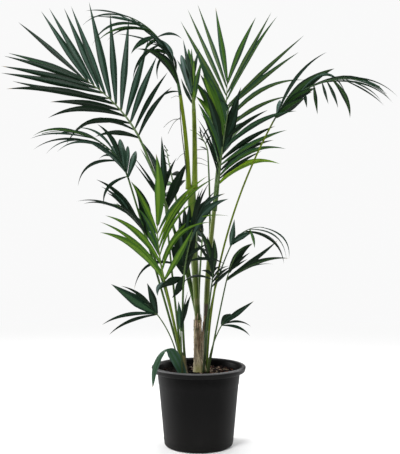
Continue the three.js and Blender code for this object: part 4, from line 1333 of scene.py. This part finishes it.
def make_fibres():
    """Peels of bark, and torn fibres of old leaf bases that cling to the trunk."""
    stem = STEMS["trunk"]
    draw = random.Random(FIBRES["seed"])
    pile = Pile()
    for squares, depths, radii in PEELS:
        peel = laid_path(squares, depths, PEEL["steps"])
        ripples = 1 + PEEL["ripple"] * np.sin(np.arange(len(peel)) * PEEL["ripple_pace"])
        add_strand(pile, peel, np.linspace(*radii, len(peel)) * ripples)
    for _ in range(FIBRES["count"]):
        start = draw.uniform(*FIBRES["low"])
        length = min(draw.uniform(*FIBRES["length"]), stem["length"] + FIBRES["overshoot"] - start)
        turn = draw.uniform(0, 2 * math.pi)
        wander = draw.uniform(*FIBRES["wander"])
        lift = draw.uniform(*FIBRES["lift"]) * (1 + FIBRES["right_lift"] * math.cos(turn))
        width = draw.uniform(*FIBRES["width"])
        pile.add_skin(fibre_rings(stem, start, length, turn, wander, lift, width))
    make_piece("trunk_fibres", pile, [FIBRE_FINISH], "bark", sharp=40)


# Dry threads that hang about the stalks: the squares of the camera's frame that each runs
# through from its foot, then its depth and its radius, each at its foot and at its tip.
THREADS = [
    (((189.5, 205), (187, 178), (184.5, 155), (181.5, 130), (180, 108), (179.3, 87)), (-2, -37), (1.6, 1.1)),
    (((180.7, 119), (174, 119.5), (168, 123), (163.5, 127.5)), (-24, -30), (0.9, 0.4)),
    (((180.5, 117.5), (175, 121.5), (171, 127.5), (168, 134)), (-24.5, -22), (0.9, 0.4)),
    (((180, 97), (176, 96), (171, 98)), (-33, -36), (0.7, 0.4)),
    (((196, 150), (202, 149.5), (208.5, 150)), (12, 10), (1.0, 0.5)),
    (((196, 158), (201, 158.5), (208, 162)), (11, 9), (0.9, 0.4)),
    (((196, 163), (201, 163.5), (208, 166)), (10, 9), (1.0, 0.4)),
    (((184.5, 153), (180, 156), (176.5, 161)), (-12.5, -14), (0.7, 0.3)),
]
THREAD = dict(steps=6, sides=6)


def make_threads():
    """Threads that are left of the sheaths and of old leaflets, round the middle of the plant."""
    pile = Pile()
    for squares, depths, radii in THREADS:
        line = laid_path(squares, depths, THREAD["steps"])
        add_strand(pile, line, np.linspace(*radii, len(line)), THREAD["sides"])
    make_piece("dry_threads", pile, [THREAD_FINISH], "green_stem")


# The sheath's overlapping edges: the angle and the share of its length at which each starts,
# and how far it turns on its way up.
SEAMS = [
    dict(angle=0.6, start=0.1, slant=0.9),
    dict(angle=2.9, start=0.35, slant=-0.7),
    dict(angle=4.6, start=0.62, slant=0.6),
]
SHEATH = dict(
    rings=150,
    sides=96,
    overlap=2,  # how far it reaches down over the trunk
    inset=0.7,
    seam=0.9,  # height of an edge, and the angle over which the leaf base falls away from it
    seam_width=0.9,
    seam_rise=0.12,  # share of the sheath's length over which a seam sets in
    slit=0.35,
    slit_width=0.06,
    lines=0.16,
    line_relief=(34, 0.02, 2.4),
    collar=0.9,
    collar_reach=5,
)


def make_sheath():
    """The green sheath of rolled leaf bases, with their overlapping edges and a collar below."""
    stem = STEMS["sheath"]

    def radius(along, turns):
        t = along / stem["length"]
        reach = through(stem["radius"], t) - SHEATH["inset"] + 0 * turns
        for seam in SEAMS:
            rise = min(1, max(0, (t - seam["start"]) / SHEATH["seam_rise"]))
            offset = (turns - seam["angle"] - seam["slant"] * t + math.pi) % (2 * math.pi) - math.pi
            fall = np.where(offset > 0, np.exp(-offset / SHEATH["seam_width"]), 0)
            reach += rise * SHEATH["seam"] * fall
            reach -= rise * SHEATH["slit"] * bell(offset, SHEATH["slit_width"])
        lines = SHEATH["lines"] * relief_round(turns, along, *SHEATH["line_relief"])
        return reach + lines + SHEATH["collar"] * bell(along, SHEATH["collar_reach"])

    stops = np.linspace(-SHEATH["overlap"], stem["length"], SHEATH["rings"])
    pile = Pile()
    pile.add_skin(limb_rings(stem_course(stem), stops, radius, SHEATH["sides"]))
    make_piece("sheath_green", pile, [SHEATH_FINISH], "green_stem", ["sheath"])


# The lined one has `lines` and a waist, and the others `bumps` and scars.
SIDE_STEM = dict(
    sides=48,
    ring_gap=3,
    least_rings=40,
    inset=0.3,
    flare=2.2,
    flare_reach=9,
    lines=0.18,
    line_relief=(26, 0.03, 3),
    waist=3,
    waist_at=55,
    waist_reach=85,
    bumps=0.75,
    bump_relief=(26, 0.3, 3),
    scar=0.5,
    scar_gap=14,
    scar_width=0.12,
)


def make_side_stem(name, finish, slot, lined):
    """A slighter stem: smooth, lined and with a waist where green, rough where it is old."""
    stem = STEMS[name]

    def radius(along, turns):
        base = through(stem["radius"], along / stem["length"]) - SIDE_STEM["inset"]
        base += SIDE_STEM["flare"] * math.exp(-along / SIDE_STEM["flare_reach"])
        if lined:
            lines = SIDE_STEM["lines"] * relief_round(turns, along, *SIDE_STEM["line_relief"])
            from_waist = along - SIDE_STEM["waist_at"]
            return base + lines - SIDE_STEM["waist"] * bell(from_waist, SIDE_STEM["waist_reach"])
        bumps = SIDE_STEM["bumps"] * relief_round(turns, along, *SIDE_STEM["bump_relief"])
        scar = along % SIDE_STEM["scar_gap"] / SIDE_STEM["scar_gap"]
        return base + bumps + SIDE_STEM["scar"] * bell(scar - 0.5, SIDE_STEM["scar_width"])

    count = max(SIDE_STEM["least_rings"], int(stem["length"] / SIDE_STEM["ring_gap"]))
    stops = np.linspace(0, stem["length"], count)
    pile = Pile()
    pile.add_skin(limb_rings(stem_course(stem), stops, radius, SIDE_STEM["sides"]))
    make_piece(name + "_skin", pile, [finish], slot, [name])


# ---------------------------------------------------------------- stalks, ribs and leaflets


# The channel on a stalk's and a rib's upper face: its depth on each as a share of the radius,
# its width as an angle, and the length over which a stalk's sets in.
CHANNEL = dict(stalk=0.22, rib=0.25, width=0.55, start=60)
STALK = dict(sides=14, ring_gap=9, least_rings=12, flare=0.3, flare_reach=16)
RIB = dict(sides=10, ring_gap=6, least_rings=14, end_radius=0.7, overlap=1)


def grooved(turns, depth):
    """A round section with a channel along its upper face."""
    away = (turns - math.pi / 2 + math.pi) % (2 * math.pi) - math.pi
    return 1 - depth * bell(away, CHANNEL["width"])


def make_stalk(frond):
    """A stalk with a channel on its face, which widens a little at its foot."""
    foot, top = frond["radius"]
    length = frond["stalk"]

    def radius(along, turns):
        up = max(0, along)
        flare = 1 + STALK["flare"] * math.exp(-up / STALK["flare_reach"])
        depth = CHANNEL["stalk"] * min(1, up / CHANNEL["start"])
        return mix(foot, top, along / length) * flare * grooved(turns, depth)

    stops = np.linspace(0, length, max(STALK["least_rings"], int(length / STALK["ring_gap"])))
    pile = Pile()
    pile.add_skin(limb_rings(frond, stops, radius, STALK["sides"]))
    finish = STALK_FINISHES["stalk_" + frond.get("colour", "green")]
    make_piece(f"{frond['name']}_stalk", pile, [finish], "green_stem", [f"stalk_{frond['name']}"])


def frond_nodes(frond):
    """The names of the solids that a frond's leaflets take the place of."""
    tails = ("_inner", "_outer") if frond["name"] in SPLIT_FRONDS else ("",)
    return [f"frond_{frond['name']}{tail}" for tail in tails]


def leaf_slot(frond):
    """The slot that the frond's own node has in the record."""
    node = frond_nodes(frond)[0]
    rows = frame["record"]["subparts"]
    return next(row["material_slot"] for row in rows if row["node"] == node)


def make_rib(frond):
    """The rib that carries the leaflets, channelled on its upper face."""
    top = frond["radius"][1]
    start, length = frond["stalk"], frond["blade"]

    def radius(along, turns):
        return mix(top, RIB["end_radius"], (along - start) / length) * grooved(turns, CHANNEL["rib"])

    count = max(RIB["least_rings"], int(length / RIB["ring_gap"]))
    pile = Pile()
    stops = np.linspace(start - RIB["overlap"], start + length, count)
    pile.add_skin(limb_rings(frond, stops, radius, RIB["sides"]))
    finish = STALK_FINISHES["rib_" + frond.get("rib_colour", frond.get("colour", "green"))]
    make_piece(f"{frond['name']}_rib", pile, [finish], leaf_slot(frond))


def laid_leaflet(frond, line, number, side, key):
    """The midrib of a leaflet that bends from the rib to the place where its tip is seen.

    It comes with the direction across its foot, its directions and its width.
    """
    right = int(side > 0)
    rows = frond["right" if right else "left"]
    column, row, arch, width, _, *behind = rows[number]
    evenly = (number + 0.5 + PAIR_OFFSET * side) / len(rows)
    joined = frond["joined"][right][number] if "joined" in frond else evenly
    along = frond["stalk"] + frond["blade"] * joined
    rib, _, _ = blade_frame(frond, along)
    foot = line(along)
    square = square_at(foot[1])
    flat = seen_at(column, row, foot[1]) - foot
    reach = np.linalg.norm(flat)
    forward = flat.dot(rib) * rib[1] / max(LAID["least_flat"], rib[0] ** 2 + rib[2] ** 2)
    rolled = LAID["rolled"] * side * math.sin(math.radians(frond.get("roll", 0)))
    deeper = forward - reach * (rolled + LAID["towards"] + LAID["scatter"] * chance(key, 1))
    if behind:
        deeper += behind[0] * square
    if arch:
        upward = np.array([-flat[2], 0, flat[0]]) * math.copysign(1, flat[0]) / reach
        bend = foot + flat * LAID["bend"] + upward * 2 * arch * square + np.array([0, deeper / 2, 0])
    else:
        bend = foot + flat * (1 if behind else 0.5)
    tip = seen_at(column, row, foot[1] + deeper)
    t = (np.arange(LEAFLET["steps"] + 1) / LEAFLET["steps"])[:, None]
    points = foot * (1 - t) ** 2 + bend * 2 * t * (1 - t) + tip * t * t
    ways = unit(np.diff(points, axis=0))
    level = side * np.cross((0, -1, 0), ways[0])
    return level, points, ways, width * square


def along_marks(marks, values):
    """Rows of three numbers that are given at marks, read off at SECTIONS."""
    return np.stack([np.interp(SECTIONS, marks, values[:, axis]) for axis in range(3)], 1)


def blade_places(shares):
    """Where each point of a blade's skin lies on it: across, and along by a share for each ring."""
    across = np.broadcast_to((ACROSS + 1) / 2, (len(shares), len(ACROSS)))
    run = np.broadcast_to(shares[:, None], across.shape)
    return np.vstack([np.stack([across, run], -1).reshape(-1, 2), [0.5, 1]])


def leaflet_height(half, fold):
    """How far each point of a leaflet's sections stands off the plane of its midrib.

    `half` is half its width at each section, and `fold` how steeply its halves fall away.
    """
    order = np.arange(len(ACROSS))
    narrow = np.minimum(1, half / LEAFLET["full_relief"])[:, None]
    slim = (1 - LEAFLET["thinning"] * SECTIONS)[:, None]
    falling = -np.abs(ACROSS)[None, :] * half[:, None] * fold
    ridge = np.where(order == MIDRIB_AT, LEAFLET["midrib"], 0)
    pleats = np.where(np.isin(order, PLEATS_AT), LEAFLET["pleat"], 0)
    under = np.where(order >= len(UPPER_ACROSS), -LEAFLET["thickness"], 0)
    return falling + (ridge + pleats) * narrow + under * slim


PAINTED_SHADE_STRETCHES = ((0, 4, 5), (0, 1, 5))  # the stretches across that get painted shade, on the left or the right


def leaflet_kinds(key, tint):
    """The finish of each stretch of a leaflet's skin. Its edges and part of one half get a darker tint,
    painted shade.
    """
    kinds = np.full((len(SECTIONS), len(ACROSS)), tint)
    kinds[:, PAINTED_SHADE_STRETCHES[chance(key, 11) > 0]] = PAINTED_SHADE_TINTS[tint]
    kinds[:, len(UPPER_ACROSS) - 1:] = tint + UNDER
    kinds[0, :] = FOOT_KIND
    if chance(key, 10) > DRY_TIPS:
        kinds[-2:, :] = DRY_KIND
    return kinds


def add_leaflet(pile, carried, points, ways, width, side, key, tint):
    """One leaflet: a thin blade, folded along its midrib, drawn out to a thread at its tip.

    `carried` is the direction across its foot, which is carried on along it.
    """
    marks = np.linspace(0, 1, len(points))
    places = along_marks(marks, points)
    along = unit(along_marks((marks[1:] + marks[:-1]) / 2, ways))
    level = np.empty_like(along)
    for i, way in enumerate(along):
        carried = level[i] = unit(carried - way * way.dot(carried))
    turn = side * (LEAFLET["twist"] + SPREAD["twist"] * chance(key, 8) - LEAFLET["untwist"] * SECTIONS)
    across = level * np.cos(turn)[:, None] + np.cross(along, level) * np.sin(turn)[:, None]
    up = side * np.cross(along, across)
    half = width / 2 * leaflet_shape(SECTIONS)
    half[0] = LEAFLET["root_half_width"]
    fold = math.tan(math.radians(LEAFLET["fold"] + SPREAD["fold"] * chance(key, 9)))
    rings = (
        places[:, None, :]
        + across[:, None, :] * (half[:, None] * ACROSS[None, :])[..., None]
        + up[:, None, :] * leaflet_height(half, fold)[..., None]
    )
    pile.add_skin(rings, points[-1], leaflet_kinds(key, tint), blade_places(SECTIONS))


def make_leaflets(frond, seed):
    """All the leaflets of one frond."""
    line = centre_line(frond)
    pile = Pile()
    for side, hand in ((-1, "left"), (1, "right")):
        for number, row in enumerate(frond[hand]):
            key = seed * 60 + number * 2 + (side > 0)
            course = laid_leaflet(frond, line, number, side, key)
            add_leaflet(pile, *course, side, key, TINT_LETTERS.index(row[4]))
    make_piece(f"{frond['name']}_leaflets", pile, LEAF_SET, leaf_slot(frond), frond_nodes(frond), sharp=25)


def make_rim_leaf():
    """The broad leaf that folds over the rim, as one strip between its two edges."""
    steps, tilt = RIM_LEAF["steps"], RIM_LEAF["tilt"]
    outer = smooth_path([seen_at(*edge, depth + tilt) for edge, _, depth in RIM_LEAF_EDGES], steps)
    inner = smooth_path([seen_at(*edge, depth) for _, edge, depth in RIM_LEAF_EDGES], steps)
    middle = (outer + inner) / 2
    ways = unit(np.gradient(middle, axis=0))
    order = np.arange(len(ACROSS))
    lower = np.where(order >= len(UPPER_ACROSS), -RIM_LEAF["edge"] - RIM_LEAF["keel"] * (ACROSS == 0), 0)
    rings = []
    for place, way, edge in zip(middle[:-2], ways, outer - middle):
        half = np.linalg.norm(edge)
        pleat = RIM_LEAF["pleat"] * min(1, half / RIM_LEAF["full_relief"])
        height = np.abs(ACROSS) * half * -RIM_LEAF["fold"]
        height += np.where(np.isin(order, PLEATS_AT), pleat, 0) + lower
        rings.append(place + np.outer(ACROSS, edge) + np.outer(height, unit(np.cross(edge, way))))
    kinds = np.full((len(rings), len(ACROSS)), LEAF_NAMES.index("slate"))
    kinds[:, 1::3] = LEAF_NAMES.index("leaf")
    kinds[:, len(UPPER_ACROSS) - 1:] += UNDER
    kinds[-2:, :] = DRY_KIND
    pile = Pile()
    pile.add_skin(rings, middle[-1], kinds, blade_places(np.linspace(0, 1, len(rings))))
    nodes = ["rim_leaf_inner", "rim_leaf_outer"]
    make_piece("rim_leaf_blade", pile, LEAF_SET, "leaf_dark", nodes, sharp=25)


# ---------------------------------------------------------------- light, floor and camera

BACKDROP = 0.95  # brightness of the studio behind the plant
FILL = 0.07  # brightness of the studio as the plant sees it
WHITE = (1, 1, 1, 1)
# `paper` is how far out the paper starts to pass into the studio's white, and where it ends.
FLOOR = dict(reach=45, spokes=96, colour=(0.86, 0.86, 0.86, 1), paper=(0.25, 2.4))


def make_world():
    """A pale studio, which lights the plant far less than it shows behind it."""
    world = bpy.data.worlds.new("studio")
    bpy.context.scene.world = world
    sky = Finish("studio", world)
    felt, seen = [
        sky.node("ShaderNodeBackground", None, {"Color": WHITE, "Strength": strength}).outputs[0]
        for strength in (FILL, BACKDROP)
    ]
    is_seen = sky.node("ShaderNodeLightPath").outputs["Is Camera Ray"]
    both = sky.node("ShaderNodeMixShader", None, {0: is_seen, 1: felt, 2: seen})
    sky.node("ShaderNodeOutputWorld", None, {"Surface": both.outputs[0]})


def make_floor():
    """A wide pale floor, paper near the pot, that passes into the studio's white further off."""
    mesh = bpy.data.meshes.new("floor")
    reach, spokes = FLOOR["reach"], FLOOR["spokes"]
    turns = 2 * math.pi * np.arange(spokes) / spokes
    edge = [(reach * math.cos(turn), reach * math.sin(turn), 0) for turn in turns]
    mesh.from_pydata(edge, [], [tuple(range(spokes))])
    floor = bpy.data.objects.new("floor", mesh)
    bpy.context.scene.collection.objects.link(floor)
    paper = Finish("floor_paper")
    x, y = paper.axis("X"), paper.axis("Y")
    far = ((x * x + y * y) ** 0.5).above(*FLOOR["paper"])
    matte = paper.node("ShaderNodeBsdfPrincipled", None, {
        "Base Color": FLOOR["colour"], "Roughness": 0.95,
        "Normal": paper.bump(paper.noise(35, detail=2), 0.05, 0.5), "Specular IOR Level": 0.1})
    is_seen = Wire(paper, paper.node("ShaderNodeLightPath").outputs["Is Camera Ray"])
    glow = paper.node("ShaderNodeEmission", None, {
        "Color": WHITE, "Strength": is_seen * (BACKDROP - FILL) + FILL})
    both = paper.node("ShaderNodeMixShader", None, {
        0: far * 0.94 + 0.06, 1: matte.outputs[0], 2: glow.outputs[0]})
    paper.node("ShaderNodeOutputMaterial", None, {"Surface": both.outputs[0]})
    mesh.materials.append(paper.material)


# Soft lights: where each stands, the place that it faces, its width and height, and its power.
LIGHTS = [
    dict(name="key", place=(-1.5, -2.6, 2.6), aim=(0, 0, 0.7), size=(1.1, 1.1), power=104),
    dict(name="fill", place=(2.2, -2.4, 1.4), aim=(0, 0, 0.7), size=(1.4, 1.8), power=26),
    dict(name="top", place=(0.2, 0.4, 3.2), aim=(0, 0, 0.5), size=(1.5, 1.5), power=58),
    dict(name="strip_left", place=(-2.1, 0.8, 0.9), aim=(0, 0, 0.5), size=(1.1, 2.2), power=92),
    dict(name="strip_right", place=(2.1, 1.0, 0.9), aim=(0, 0, 0.5), size=(0.4, 2.0), power=42),
    dict(name="back", place=(0.6, 3.0, 1.9), aim=(0, 0, 0.7), size=(1.6, 1.2), power=20),
]


def make_lights():
    """Soft rectangular lights, which the camera doesn't see."""
    for row in LIGHTS:
        lamp = bpy.data.lights.new(row["name"], "AREA")
        lamp.shape = "RECTANGLE"
        lamp.size, lamp.size_y = row["size"]
        lamp.energy = row["power"]
        holder = bpy.data.objects.new(row["name"], lamp)
        holder.location = row["place"]
        facing = Vector(row["aim"]) - Vector(row["place"])
        holder.rotation_euler = facing.to_track_quat("-Z", "Y").to_euler()
        holder.visible_camera = False
        bpy.context.scene.collection.objects.link(holder)


def make_camera():
    """The camera in front, a little above the plant's middle."""
    lens = bpy.data.cameras.new("camera")
    lens.lens = CAMERA["lens"]
    lens.sensor_width = CAMERA["sensor"]
    camera = bpy.data.objects.new("camera", lens)
    camera.location = Vector(CAMERA["place"]) * MM
    camera.rotation_euler = (math.radians(CAMERA["pitch"]), 0, 0)
    bpy.context.scene.collection.objects.link(camera)
    bpy.context.scene.camera = camera


# ---------------------------------------------------------------- the whole scene

make_camera()
make_world()
make_floor()
make_lights()
bpy.context.scene.view_settings.view_transform = "Standard"

make_pot()
make_bed()
make_chips()
make_roots()
make_trunk()
make_fibres()
make_threads()
make_sheath()
make_side_stem("stem_right", OLD_STEM_FINISH, "green_stem", lined=True)
make_side_stem("stem_left", BASE_FINISH, "bark", lined=False)
make_side_stem("stem_front_left", BASE_FINISH, "bark", lined=False)
for number, frond in enumerate(FRONDS, 1):
    make_stalk(frond)
    make_rib(frond)
    make_leaflets(frond, number)
make_rim_leaf()
